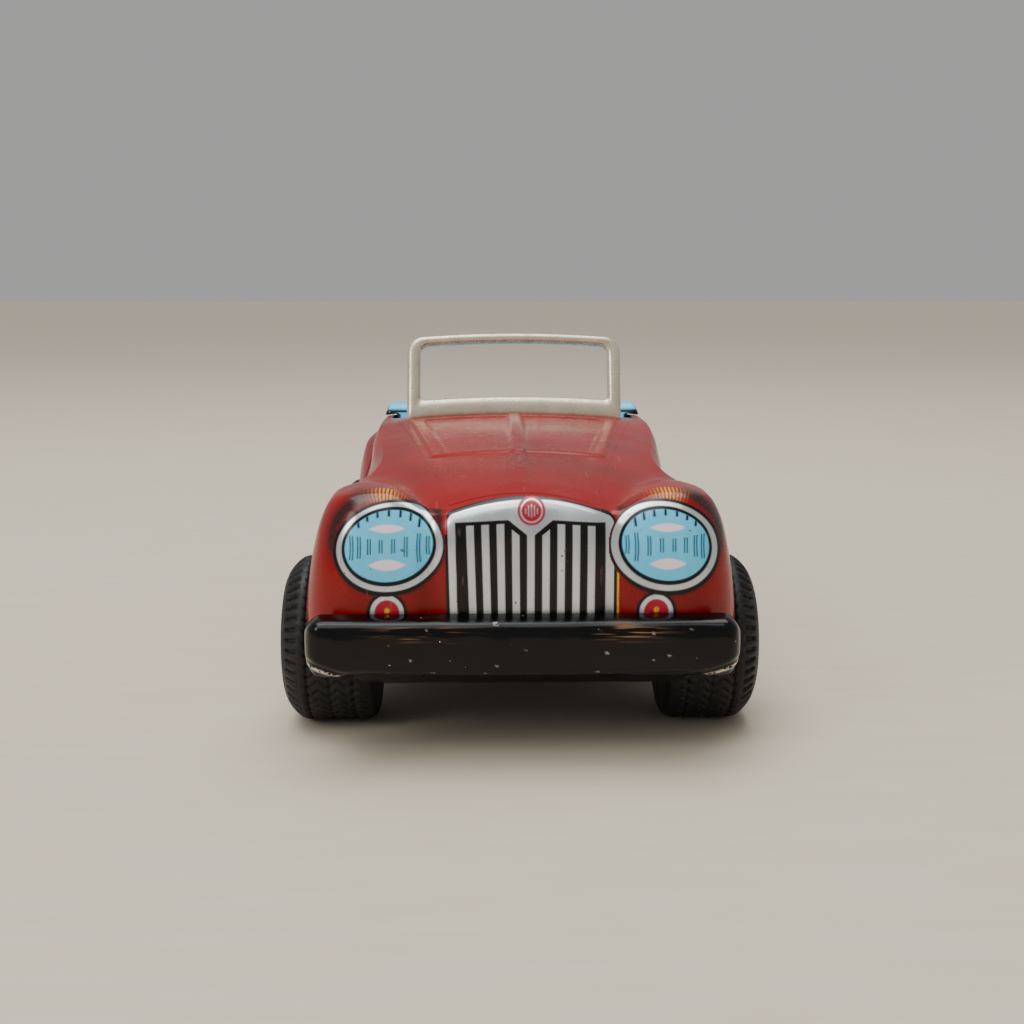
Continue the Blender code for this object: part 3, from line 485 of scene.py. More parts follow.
def along(knots, s):
    """Value at s on a smooth curve through (station, value) knots that never overshoots them."""
    xs = np.array([k[0] for k in knots], float)
    ys = np.array([k[1] for k in knots], float)
    s = np.asarray(s, float)
    step = np.diff(xs)
    slope = np.diff(ys) / step
    total = slope[:-1] + slope[1:]
    safe = np.where(np.abs(total) < 1e-9, 1.0, total)
    tangent = np.zeros_like(ys)
    tangent[1:-1] = np.where(slope[:-1] * slope[1:] > 0, 2 * slope[:-1] * slope[1:] / safe, 0.0)
    i = np.clip(np.searchsorted(xs, s, side="right") - 1, 0, len(step) - 1)
    t = np.clip((s - xs[i]) / step[i], 0, 1)
    h = step[i]
    return (ys[i] * (1 + 2 * t) * (1 - t) ** 2 + tangent[i] * h * t * (1 - t) ** 2
            + ys[i + 1] * t * t * (3 - 2 * t) + tangent[i + 1] * h * t * t * (t - 1))


CROWN = [(0, 38.0), (8, 39.7), (20, 41.4), (35, 42.9), (50, 43.9), (62, 44.5),
         (75, 44.4), (86, 43.7), (100, 41.8), (114, 38.0), (124, 33.8), (BODY_LENGTH, 29.5)]
CAMBER = [(0, 0.018), (15, 0.0102), (30, 0.0060), (45, 0.0037), (62, 0.0023), (90, 0.0028),
          (BODY_LENGTH, 0.008)]
POD_TOP = [(0, 37.9), (5, 38.9), (12, 39.0), (20, 38.0), (28, 35.2), (36, 30.0), (44, 20.0)]
POD_CREST = [(0, 20.0), (10, 21.5), (20, 23.5), (32, 26.0), (44, 27.0)]
POD_INNER_FALL, POD_OUTER_FALL, POD_BLEND = 0.070, 0.020, 1.2
FRONT_CORNER, REAR_CORNER = 9.5, 12.0
HALF_FRONT, HALF_REAR = BODY_HALF - FRONT_CORNER, BODY_HALF - REAR_CORNER

# Wall profiles from the lower edge up: (inset from the plan outline, share of the height up to the shoulder)
GRILLE_WALL = [(0.6, 0), (0.1, .20), (0.0, .40), (0.0, .60), (0.2, .78), (0.8, .91), (1.8, .975), (3.0, 1)]
POD_WALL = [(0.6, 0), (0.1, .22), (0.0, .42), (0.3, .60), (1.2, .78), (2.8, .92), (4.8, .985), (7.0, 1)]
WING_WALL = [(0.6, 0), (0.1, .15), (0.0, .26), (0.5, .46), (1.4, .66), (2.6, .83), (4.6, .955), (8.0, 1)]
TAIL_OF_WING = [(0.6, 0), (0.2, .20), (0.4, .38), (1.8, .62), (4.0, .78), (7.4, .835), (8.7, .93), (9.8, 1)]
DOOR_WALL = [(2.2, 0), (1.6, .15), (2.0, .32), (4.0, .50), (5.8, .66), (6.3, .82), (6.7, .93), (7.6, 1)]
REAR_WING_WALL = [(0.6, 0), (0.0, .25), (0.3, .50), (0.9, .66), (2.2, .82), (4.3, .89), (6.2, .94), (8.0, 1)]
TAIL_CORNER_WALL = [(0.6, 0), (0.0, .25), (0.3, .50), (1.2, .68), (2.8, .83), (4.8, .92), (6.8, .975),
                    (9.0, 1)]
TAIL_WALL = [(0.6, 0), (0.0, .30), (0.2, .55), (1.0, .74), (2.6, .87), (4.8, .95), (7.0, .985), (9.0, 1)]
WALL_KNOTS = 7
SIDE_FIRST, SIDE_LAST = FRONT_CORNER, BODY_LENGTH - REAR_CORNER
FACE_PROFILES = [(0, GRILLE_WALL), (10.5, GRILLE_WALL), (17.5, POD_WALL), (HALF_FRONT, POD_WALL)]
SIDE_PROFILES = [(SIDE_FIRST, WING_WALL), (20, WING_WALL), (33, TAIL_OF_WING), (55, DOOR_WALL),
                 (74, DOOR_WALL), (92, REAR_WING_WALL), (108, REAR_WING_WALL),
                 (SIDE_LAST, TAIL_CORNER_WALL)]


def top_height(x, s):
    """Height of the bonnet, the head lamp pods and the rear deck."""
    a = np.abs(x)
    crown = along(CROWN, s) - along(CAMBER, s) * a * a
    offset = a - along(POD_CREST, s)
    pod = along(POD_TOP, s) - np.where(offset < 0, POD_INNER_FALL, POD_OUTER_FALL) * offset ** 2
    return (crown + pod + np.sqrt((crown - pod) ** 2 + POD_BLEND ** 2)) / 2


def warp(x, s):
    """From the ideal plan to the real one: creases beside the grille, and a bowed tail."""
    crease = 0.9 * np.exp(-((np.abs(x) - 13.0) / 1.8) ** 2) * np.clip(1 - s / 10.0, 0, 1)
    return x, s + crease - 0.004 * x * x * np.clip((s - 110.0) / 20.0, 0, 1)


def wall_between(profiles, position):
    knots = [(p, np.array(w, float)) for p, w in profiles]
    for (p0, w0), (p1, w1) in zip(knots, knots[1:]):
        if position <= p1:
            t = (position - p0) / (p1 - p0)
            t = t * t * (3 - 2 * t)
            return w0 * (1 - t) + w1 * t
    return knots[-1][1]


def outline_at(leg, t):
    """(point, inward normal, wall) at a share t of a leg of the outline: nose, corner, side, corner, tail."""
    turn = math.pi / 2 * t
    sin, cos = math.sin(turn), math.cos(turn)
    if leg == 0:
        return (HALF_FRONT * t, 0.0), (0.0, 1.0), wall_between(FACE_PROFILES, HALF_FRONT * t)
    if leg == 1:
        point = (HALF_FRONT + FRONT_CORNER * sin, FRONT_CORNER - FRONT_CORNER * cos)
        return point, (-sin, cos), wall_between([(0, POD_WALL), (1, WING_WALL)], t)
    if leg == 2:
        s = SIDE_FIRST + (SIDE_LAST - SIDE_FIRST) * t
        return (BODY_HALF, s), (-1.0, 0.0), wall_between(SIDE_PROFILES, s)
    if leg == 3:
        point = (HALF_REAR + REAR_CORNER * cos, SIDE_LAST + REAR_CORNER * sin)
        return point, (-cos, -sin), wall_between([(0, TAIL_CORNER_WALL), (1, TAIL_WALL)], t)
    return (HALF_REAR * (1 - t), BODY_LENGTH), (0.0, -1.0), np.array(TAIL_WALL, float)


def column(leg, t, rows, side=1):
    """Points up the wall at one place on the outline; rows run from 0 at the foot to 7 on the shoulder."""
    point, inward, wall = outline_at(leg, t)
    reach = wall[-1][0]
    top = float(top_height(*warp(point[0] + reach * inward[0], point[1] + reach * inward[1])))
    inset = along(list(enumerate(wall[:, 0])), rows)
    share = along(list(enumerate(wall[:, 1])), rows)
    x, s = warp(point[0] + inset * inward[0], point[1] + inset * inward[1])
    return np.stack([side * x, s, BODY_BOTTOM + share * (top - BODY_BOTTOM)], axis=-1)


def wall_patch(places, rows, side=1):
    """A fine piece of the wall: (rows, columns, 3) over a list of (leg, t)."""
    return np.stack([column(leg, t, rows, side) for leg, t in places], axis=1)


def half_places(counts):
    across, corner, side = counts
    legs = [(0, across), (1, corner), (2, side), (3, corner)]
    places = [(leg, k / count) for leg, count in legs for k in range(count)]
    return places + [(4, k / across) for k in range(across + 1)]


def body_points(counts, rows):
    right = [column(leg, t, rows) for leg, t in half_places(counts)]
    left = [points * np.array([-1.0, 1.0, 1.0]) for points in reversed(right[1:-1])]
    return right + left


def body_bmesh(counts, rows):
    """The body's outer side: walls all round, closed by a top patch blended from the four shoulder lines."""
    across, corner, side = counts
    columns = body_points(counts, rows)
    count = len(columns)
    bm = bmesh.new()
    walls = [[bm.verts.new(at(*point)) for point in points] for points in columns]
    for first, second in zip(walls, walls[1:] + walls[:1]):
        for k in range(len(first) - 1):
            bm.faces.new((first[k], second[k], second[k + 1], first[k + 1]))
    shoulder = np.array([points[-1][:2] for points in columns])
    half = across + corner // 2
    steps = corner + side
    tail = count // 2
    width = shoulder[half][0]
    s0, s1 = shoulder[half][1], shoulder[half + steps][1]
    patch = {}
    for i in range(-half, half + 1):
        patch[i, 0] = walls[i % count][-1]
        patch[i, steps] = walls[tail - i][-1]
    for j in range(steps + 1):
        patch[half, j] = walls[half + j][-1]
        patch[-half, j] = walls[(-half - j) % count][-1]
    for i in range(-half + 1, half):
        nose, back = shoulder[i % count], shoulder[tail - i]
        u = (nose[0] / width + 1) / 2
        inner = np.arange(1, steps)
        right, left = shoulder[half + inner], shoulder[(-half - inner) % count]
        v = ((right[:, 1] - s0) / (s1 - s0))[:, None]
        corners = ((1 - u) * (1 - v) * shoulder[-half % count] + u * (1 - v) * shoulder[half]
                   + (1 - u) * v * shoulder[tail + half] + u * v * shoulder[tail - half])
        plan = (1 - v) * nose + v * back + (1 - u) * left + u * right - corners
        height = top_height(plan[:, 0], plan[:, 1])
        for j, (x, s), z in zip(inner, plan, height):
            patch[i, int(j)] = bm.verts.new(at(x, s, float(z)))
    for i in range(-half, half):
        for j in range(steps):
            bm.faces.new((patch[i, j], patch[i + 1, j], patch[i + 1, j + 1], patch[i, j + 1]))
    return bm


def rounded_plan(half_width, s0, s1, radius, counts):
    """A rounded rectangle in plan, as (x, s) points."""
    across, corner, side = counts
    right = [((half_width - radius) * k / across, s0) for k in range(across)]
    turns = [math.pi / 2 * k / corner for k in range(corner)]
    right += [(half_width - radius + radius * math.sin(a), s0 + radius - radius * math.cos(a)) for a in turns]
    right += [(half_width, s0 + radius + (s1 - s0 - 2 * radius) * k / side) for k in range(side)]
    right += [(half_width - radius + radius * math.cos(a), s1 - radius + radius * math.sin(a)) for a in turns]
    right += [((half_width - radius) * (1 - k / across), s1) for k in range(across + 1)]
    return right + [(-x, s) for x, s in reversed(right[1:-1])]


def wall_x(s, z):
    wall = wall_between(SIDE_PROFILES, s)
    top = float(top_height(BODY_HALF - wall[-1][0], s))
    heights = [BODY_BOTTOM + share * (top - BODY_BOTTOM) for _, share in wall]
    return BODY_HALF - float(np.interp(z, heights, wall[:, 0]))


def body():
    made = from_bmesh("body_pressing", body_bmesh((26, 12, 96), np.linspace(0, WALL_KNOTS, 29)),
                      [RED, LACQUER], 45, (0, 0, 1))
    thick = made.modifiers.new("tin", "SOLIDIFY")
    thick.thickness = TIN * MM
    thick.offset = -1.0
    thick.use_even_offset = True
    thick.material_offset = 1
    thick.material_offset_rim = 1
    bm = bmesh.new()
    plan = rounded_plan(COCKPIT_HALF, COCKPIT_FRONT, COCKPIT_REAR, COCKPIT_CORNER, (2, 10, 2))
    rings = [[bm.verts.new(at(x, s, z)) for x, s in plan] for z in (30.0, 60.0)]
    bm.faces.new(rings[0])
    bm.faces.new(list(reversed(rings[1])))
    for i in range(len(plan)):
        j = (i + 1) % len(plan)
        bm.faces.new((rings[0][i], rings[1][i], rings[1][j], rings[0][j]))
    for axle in (FRONT_AXLE, REAR_AXLE):
        for x0, x1 in ((-40.0, -20.0), (20.0, 40.0)):
            add_prism(bm, circle(axle, ARCH_RADIUS, 96), x0, x1)
    for x in (-15.0, 15.0):
        add_box(bm, (x - 1.7, WINDSCREEN_S - 0.5, 40.0), (x + 1.7, WINDSCREEN_S + 0.5, 48.0))
    cut(made, bm)
    freeze(made)
    settle(made, "car_body", "red_litho", "body_shell")
    bm = bmesh.new()
    for side in (-1, 1):
        for station in TAB_STATIONS:
            outer = min(wall_x(station - 2.0, 14.5), wall_x(station + 2.0, 14.5)) - 0.02
            x0, x1 = sorted((side * (outer - TIN), side * outer))
            add_box(bm, (x0, station - 2.0, PAN_RIM - 0.1), (x1, station + 2.0, 15.2))
            x0, x1 = sorted((side * (outer - TIN - 2.6), side * outer))
            add_box(bm, (x0, station - 2.0, PAN_RIM - 0.5), (x1, station + 2.0, PAN_RIM - 0.1))
    tabs = from_bmesh("body_tabs", bm, [LACQUER])
    bevel = tabs.modifiers.new("round", "BEVEL")
    bevel.width = 0.1 * MM
    bevel.segments = 2
    settle(tabs, "car_body", "red_litho")


# ---------------------------------------------------------------- prints

SOFT = 0.16


def inside(distance, soft=SOFT):
    """1 where a signed distance in millimetres is negative, 0 where it is positive, with a soft edge."""
    return np.clip(0.5 - distance / soft, 0, 1)


def ellipse(x, z, cx, cz, rx, rz, tilt=0.0):
    """Signed distance, near enough, to a tilted ellipse."""
    a, b = x - cx, z - cz
    c, t = math.cos(tilt), math.sin(tilt)
    a, b = a * c + b * t, b * c - a * t
    share = np.sqrt((a / rx) ** 2 + (b / rz) ** 2)
    return (share - 1) * min(rx, rz) * (1 + 0.15 * (1 - np.minimum(share, 1)))


def segment(x, z, x0, z0, x1, z1, width):
    """Signed distance to a thick line."""
    dx, dz = x1 - x0, z1 - z0
    t = np.clip(((x - x0) * dx + (z - z0) * dz) / (dx * dx + dz * dz), 0, 1)
    return np.hypot(x - x0 - t * dx, z - z0 - t * dz) - width / 2


def box_distance(x, z, x0, x1, z0, z1, radius=0.0):
    a = np.abs(x - (x0 + x1) / 2) - (x1 - x0) / 2 + radius
    b = np.abs(z - (z0 + z1) / 2) - (z1 - z0) / 2 + radius
    return np.hypot(np.maximum(a, 0), np.maximum(b, 0)) + np.minimum(np.maximum(a, b), 0) - radius


GRILLE_MIDDLE = 1.15
GRILLE_LEFT, GRILLE_RIGHT = -10.75, 13.15
BAR_PITCH, BAR_WIDTH = 2.2, 1.1
GRILLE_FOOT = 14.5


ROUNDEL_X, ROUNDEL_Z = 1.25, 36.55


def grille_paint(x, s, z):
    """Silver surround and leaning bars on black, with a plain fluted roundel at the crown."""
    offset = x - GRILLE_MIDDLE
    crown = 38.05 - np.where(offset < 0, 0.0160, 0.0192) * offset ** 2
    lean = np.where(x < GRILLE_MIDDLE, -0.022, 0.0) * (36.0 - z)
    sides = np.maximum(GRILLE_LEFT - x - lean, x - GRILLE_RIGHT)
    shell = np.maximum(np.maximum(sides, z - crown), GRILLE_FOOT - z)
    shoulders = np.hypot(np.maximum(sides + 0.8, 0), np.maximum(z - crown + 0.8, 0)) - 0.8
    shell = np.maximum(shell, shoulders)
    roof = np.where(offset < 0, 35.45 + 0.055 * offset, 35.45 - 0.07 * offset)
    tongue = 33.0 + 0.80 * np.maximum(np.abs(offset) - 0.35, 0)
    roof = np.minimum(roof, tongue)
    hole = np.maximum(np.maximum(-9.6 - x - lean, x - 11.8), z - roof)
    silver = inside(shell)
    black = inside(shell - 0.42) * (1 - silver)
    gap = inside(hole)
    bars = np.zeros_like(x)
    for k in range(-4, 5):
        bar_x = GRILLE_MIDDLE + k * BAR_PITCH * 0.985
        slope = -0.030 if k < 0 else 0.004
        cap = roof + (9.0 if k == 0 else -0.85 if abs(k) == 1 else -0.42)
        bar = np.maximum(np.abs(x - bar_x - slope * (z - 34.0) * abs(k) / 4) - BAR_WIDTH / 2, z - cap)
        bars = np.maximum(bars, inside(bar))
    silver = silver * (1 - gap * (1 - bars))
    black = np.maximum(black, gap * (1 - bars) * inside(shell))
    edge = inside(np.abs(hole) - 0.10) * inside(shell) * (1 - bars)
    black = np.maximum(black, edge)
    tab = box_distance(x, z, GRILLE_LEFT - 0.55, GRILLE_LEFT - 0.05, 33.2, 35.7, 0.2)
    crimson = inside(tab) * (1 - silver)
    yellow = inside(box_distance(x, z, 13.62, 13.86, 15.0, 28.6, 0.1))
    roundel = np.hypot(x - ROUNDEL_X, z - ROUNDEL_Z)
    disc = inside(roundel - 1.9)
    ring = inside(np.abs(roundel - 1.52) - 0.14)
    flutes = sum(inside(box_distance(x, z, ROUNDEL_X + f - 0.10, ROUNDEL_X + f + 0.10, ROUNDEL_Z - h,
                                     ROUNDEL_Z + h, 0.1))
                 for f, h in ((-0.84, 0.42), (-0.42, 0.74), (0.0, 0.92), (0.42, 0.74), (0.84, 0.42)))
    light = np.clip(ring + flutes, 0, 1)
    outline = inside(np.abs(roundel - 1.96) - 0.06)
    silver = np.where(disc > 0, np.maximum(silver * (1 - disc), light), silver)
    crimson = np.maximum(crimson, disc * (1 - light))
    black = np.maximum(black * (1 - disc), outline * 0.8)
    return {"silver": silver, "black": black, "crimson": crimson, "yellow": yellow}


# Flutes of the lens, each a pair of fine strokes: (place across, half length, height), as shares of the lens
STROKES = ((-0.87, 0.26, 0.02), (-0.66, 0.40, -0.04), (-0.38, 0.28, -0.01), (-0.10, 0.20, 0.01),
           (0.18, 0.19, 0.01), (0.44, 0.22, 0.0), (0.66, 0.30, -0.02), (0.83, 0.34, -0.04))
TICKS = (-0.72, -0.50, -0.26, 0.0, 0.26, 0.50, 0.72)


LENS_HALF = (6.35, 4.98)
SIDE_LAMP_Z = 22.0


def lamp_paint(side):
    """A head lamp, the side lamp under it and the shading that rounds the wing, on one side of the car."""
    cx, cz, rx, rz = (20.45, 31.3, 7.85, 6.2) if side > 0 else (-19.0, 31.25, 7.7, 6.15)
    lamp_x = 19.2 if side > 0 else -19.45
    tilt = -side * math.radians(9)

    def paint(x, s, z):
        ring = ellipse(x, z, cx, cz, rx, rz, tilt)
        rim = ellipse(x, z, cx + side * 0.12, cz - 0.16, rx + 0.36, rz + 0.50, tilt)
        lens = ellipse(x, z, cx + side * 0.12, cz + 0.22, *LENS_HALF, tilt)
        well = ellipse(x, z, cx + side * 0.10, cz + 0.13, 6.80, 5.46, tilt)
        silver = inside(ring) * (1 - inside(well))
        black = (inside(rim) * (1 - inside(ring)) + inside(well) * (1 - inside(lens)))
        blue = inside(lens)
        a, b = side * (x - cx - side * 0.12) / LENS_HALF[0], (z - cz - 0.22) / LENS_HALF[1]
        for place, reach, rise in STROKES:
            bowed = a - place - 0.18 * place * (b - rise) ** 2
            for shift in (-0.030, 0.030):
                edge = np.maximum(np.abs(bowed - shift) - 0.014, np.abs(b - rise) - reach) * 5.5
                black = np.maximum(black, inside(edge, 0.12) * blue)
        for place in TICKS:
            top = math.sqrt(1 - place * place)
            edge = np.maximum(np.abs(a - place * (0.86 + 0.14 * b)) - 0.030, top - 0.17 - b) * 5.5
            black = np.maximum(black, inside(edge) * blue)
        white = np.zeros_like(x)
        for rise, half_width, half_height in ((0.50, 0.40, 0.115), (-0.52, 0.42, 0.155)):
            u = (a - 0.04) / half_width
            shape = np.abs(b - rise) - half_height * (1 - np.clip(u * u, 0, 1)) + 0.02 * (np.abs(u) > 1)
            white = np.maximum(white, inside(np.maximum(shape, np.abs(a - 0.04) - half_width) * 5.5) * blue)
        low = np.hypot(x - lamp_x, (z - SIDE_LAMP_Z) / 1.05)
        free = 1 - inside(rim)
        case = inside(low - 2.45) * free
        silver = np.maximum(silver, case * (1 - inside(low - 1.75)))
        black = np.maximum(black, inside(low - 2.85) * free * (1 - inside(low - 2.45)))
        crimson = case * inside(low - 1.75)
        yellow = inside(np.hypot(x - lamp_x, z - 22.35) - 0.38)
        crimson = crimson * (1 - yellow)
        share = np.sqrt(((x - cx) / rx) ** 2 + ((z - cz) / rz) ** 2)
        theta = np.degrees(np.arctan2((z - cz) / rz, side * (x - cx) / rx))
        inner = np.clip((theta - 98) / 22, 0, 1) * np.clip((196 - theta) / 22, 0, 1)
        outer = np.clip((theta + 26) / 25, 0, 1) * np.clip((88 - theta) / 26, 0, 1)
        wide_in = 1.18 + 0.36 * np.clip((172 - theta) / 45, 0, 1)
        wide_out = 1.18 + 0.18 * np.clip(theta / 60, 0, 1)
        start_in = 1.02 + 0.16 * np.clip((150 - theta) / 40, 0, 1)
        start_out = 1.00 + 0.12 * np.clip((theta - 10) / 60, 0, 1)
        band = np.maximum(inner * inside((share - wide_in) * 6, 0.9) * inside((start_in - share) * 6, 0.8),
                          outer * inside((share - wide_out) * 6, 0.9) * inside((start_out - share) * 6, 0.8))
        grille_edge = 13.6 if side > 0 else 11.2
        clear = np.clip((side * x - grille_edge) / 0.5, 0, 1)
        band = band * free * clear
        fade = np.clip((39.6 - z) / 0.8, 0, 1)
        burst = np.exp(-((theta - 86) / 12) ** 2) * inside((share - 1.34) * 6, 1.2) * free * clear
        rays = np.clip(np.sin(theta * 1.9) * 1.8 + 0.2, 0, 1)
        glow = np.exp(-((theta - 96) / 34) ** 2) * inside((share - 1.30) * 6, 1.5) * free * clear
        band = np.maximum(band, 0.34 * glow * np.clip(np.sin(theta * 2.6 + share * 25) * 1.5, 0, 1))
        return {"silver": silver, "black": black, "blue": blue, "white": white, "crimson": crimson,
                "yellow": np.maximum(yellow, burst * rays * 0.85), "grey": band * fade}
    return paint


def bonnet():
    """The pressed bonnet: a raised panel, two sunk ones in it and a ridge down the middle."""
    s = np.linspace(4.0, 61.4, 210)[:, None]
    u = np.linspace(-1, 1, 190)[None, :]
    half = 10.5 + (21.6 - 10.5) * (s - 4.0) / 57.4
    x, s = u * half, s + 0 * u
    panel_half = 13.4 + (19.4 - 13.4) * (s - 24.0) / 37.0
    panel = np.maximum(np.abs(x) - panel_half, np.maximum(25.0 + 0.010 * x * x - s, s - 60.6))
    raised = 0.26 * smooth(-panel, 0.9)
    inner_half = panel_half - 2.5 + 0.2 * (s - 40) / 20
    sunk = np.maximum(np.abs(x) - inner_half, np.maximum(27.6 + 0.010 * x * x - s, s - 57.8))
    sunk = np.maximum(sunk, 1.5 - np.abs(x))
    lowered = 0.30 * smooth(-sunk, 0.9)
    ridge = 0.34 * smooth(1.05 - np.abs(x), 0.9)
    ridge = ridge * np.clip((s - 5.5) / 9.0, 0, 1) * np.clip((61.4 - s) / 2.0, 0, 1)
    lift = 0.04 + raised - lowered + np.maximum(ridge, 0)
    points = np.stack([x, s, top_height(x, s)], axis=-1)

    def paint(x, s, z):
        spot = np.exp(-(x / 1.9) ** 2 - ((s - 22.0) / 6.5) ** 2)
        streak = 0.75 * np.exp(-(x / 0.7) ** 2) * np.clip((s - 12) / 6, 0, 1) * np.clip((40 - s) / 14, 0, 1)
        return {"worn": np.maximum(spot, streak)}
    print_sheet("bonnet_pressing", points, (0, 0, 1), paint, RED, "red_litho",
                lift=lift[..., None], trim=False)


def smooth(distance, width):
    t = np.clip(distance / width + 0.5, 0, 1)
    return t * t * (3 - 2 * t)


def nose_prints():
    rows = np.linspace(0.2, WALL_KNOTS, 215)
    places = [(0, x / HALF_FRONT) for x in np.arange(0.0, 14.4, 0.12)]
    right = wall_patch(places, rows)
    left = wall_patch([p for p in places if p[1] * HALF_FRONT <= 11.7][1:], rows, -1)[:, ::-1]
    print_sheet("grille_print", np.concatenate([left, right], axis=1), (0, -1, 0), grille_paint, RED,
                "red_litho")
    places = [(0, x / HALF_FRONT) for x in np.arange(9.4, HALF_FRONT - 0.07, 0.14)]
    places += [(1, t) for t in np.linspace(0, 0.86, 92)]
    for label, side in (("left", -1), ("right", 1)):
        print_sheet(f"head_lamp_print_{label}", wall_patch(places, rows, side), (0.4 * side, -1, 0),
                    lamp_paint(side),
                    RED, "red_litho", lift=PRINT_LIFT + 0.012)


def door_paint(x, s, z):
    """A door's outline and its handle."""
    sill, rail = 16.6, 40.4
    door = box_distance(s, z, 61.0, 83.0, sill, rail + 3, 3.0)
    line = inside(np.abs(door) - 0.12) * inside(z - rail, 1.0)
    handle = inside(box_distance(s, z, 76.6, 81.4, 34.2, 35.2, 0.5))
    frame_line = inside(np.abs(box_distance(s, z, 76.6, 81.4, 34.2, 35.2, 0.5)) - 0.14)
    trim = inside(np.abs(z - 15.3) - 0.28) * inside(box_distance(s, z, 40.5, 87.5, 12.0, 18.0))
    hinge = sum(inside(box_distance(s, z, 60.2, 61.8, h - 0.7, h + 0.7, 0.3)) for h in (21.5, 34.0))
    return {"black": np.clip(line + frame_line, 0, 1) * (1 - handle),
            "silver": np.clip(handle + trim + hinge, 0, 1)}


def tail_paint(x, s, z):
    """Two tail lamps, a blank plate and the boot lid's outline."""
    silver, black, crimson, yellow = (np.zeros_like(x) for _ in range(4))
    for side in (-1, 1):
        lamp = np.hypot(x - side * 16.4, z - 26.6)
        silver = np.maximum(silver, inside(lamp - 2.6) * (1 - inside(lamp - 1.9)))
        black = np.maximum(black, inside(np.abs(lamp - 2.75) - 0.16))
        crimson = np.maximum(crimson, inside(lamp - 1.9))
        yellow = np.maximum(yellow, inside(lamp - 0.5))
    plate = box_distance(x, z, -7.0, 7.0, 22.6, 26.6, 0.5)
    black = np.maximum(black, inside(np.abs(plate) - 0.16))
    lid = box_distance(x, z, -11.6, 11.6, 21.4, 60.0, 2.4)
    black = np.maximum(black, inside(np.abs(lid) - 0.12))
    handle = box_distance(x, z, -2.2, 2.2, 28.2, 29.3, 0.5)
    silver = np.maximum(silver, inside(handle))
    black = np.maximum(black, inside(np.abs(handle) - 0.12))
    return {"silver": silver, "black": black, "crimson": crimson * (1 - yellow), "yellow": yellow,
            "white": inside(plate + 0.15)}


def other_prints():
    rows = np.linspace(0.1, WALL_KNOTS, 150)
    span = SIDE_LAST - SIDE_FIRST
    places = [(2, (s - SIDE_FIRST) / span) for s in np.arange(40.0, 88.5, 0.22)]
    for label, side in (("left", -1), ("right", 1)):
        print_sheet(f"door_print_{label}", wall_patch(places, rows, side), (side, 0, 0), door_paint, RED,
                    "red_litho")
    places = [(4, t) for t in np.linspace(0, 1, 120)]
    right = wall_patch(places, rows)
    left = wall_patch(places[:-1], rows, -1)[:, ::-1]
    whole = np.concatenate([right, left], axis=1)
    print_sheet("tail_print", whole, (0, 1, 0), tail_paint, RED, "red_litho")


# ---------------------------------------------------------------- pan and bumpers

def plan_ring(inset, z, counts):
    right = []
    for leg, t in half_places(counts):
        point, inward, wall = outline_at(leg, t)
        reach = wall[0][0] + inset
        x, s = warp(point[0] + reach * inward[0], point[1] + reach * inward[1])
        right.append((float(x), float(s), z))
    return right + [(-x, s, z) for x, s, z in reversed(right[1:-1])]


def base_pan():
    counts = (10, 5, 24)
    rings = [plan_ring(0.2, PAN_RIM, counts), plan_ring(3.1, PAN_RIM, counts),
             plan_ring(3.5, PAN_RIM - 0.12, counts),
             plan_ring(6.1, PAN_FLOOR + 0.2, counts), plan_ring(6.6, PAN_FLOOR, counts)]
    for half, s0, s1, z in ((17.2, 37.8, 74.2, PAN_FLOOR), (16.8, 38.2, 73.8, PAN_FLOOR - 0.1),
                            (16.2, 38.8, 73.2, PAN_FLOOR - PAD_DEPTH + 0.1),
                            (15.8, 39.2, 72.8, PAN_FLOOR - PAD_DEPTH)):
        rings.append([(x, s, z) for x, s in rounded_plan(half, s0, s1, 3.0, counts)])
    bm = bmesh.new()
    made = [[bm.verts.new(at(*point)) for point in ring] for ring in rings]
    for lower, upper in zip(made, made[1:]):
        for i in range(len(lower)):
            j = (i + 1) % len(lower)
            bm.faces.new((lower[i], lower[j], upper[j], upper[i]))
    bm.faces.new(made[-1])
    pan = from_bmesh("base_pressing", bm, [ENAMEL, LACQUER], 40, (0, 0, -1))
    thick = pan.modifiers.new("tin", "SOLIDIFY")
    thick.thickness = PAN_TIN * MM
    thick.offset = -1.0
    thick.use_even_offset = True
    thick.material_offset = 1
    bm = bmesh.new()
    for axle in (FRONT_AXLE, REAR_AXLE):
        for side in (-1, 1):
            x0, x1 = sorted((side * (TYRE_INNER - 1.3), side * 40.0))
            add_box(bm, (x0, axle[0] - 14.4, 5.0), (x1, axle[0] + 14.4, 20.0))
    add_box(bm, (-5.6, REAR_AXLE[0] - 13.6, 5.0), (5.6, REAR_AXLE[0] + 7.4, 20.0))
    for side in (-1, 1):
        for station in TAB_STATIONS:
            outer = wall_x(station, 14.5)
            x0, x1 = sorted((side * (outer - 0.85), side * (outer + 0.4)))
            add_box(bm, (x0, station - 2.4, 8.0), (x1, station + 2.4, 13.05))
    cut(pan, bm)
    freeze(pan)
    settle(pan, "car_body", "black_enamel", "base_pan")


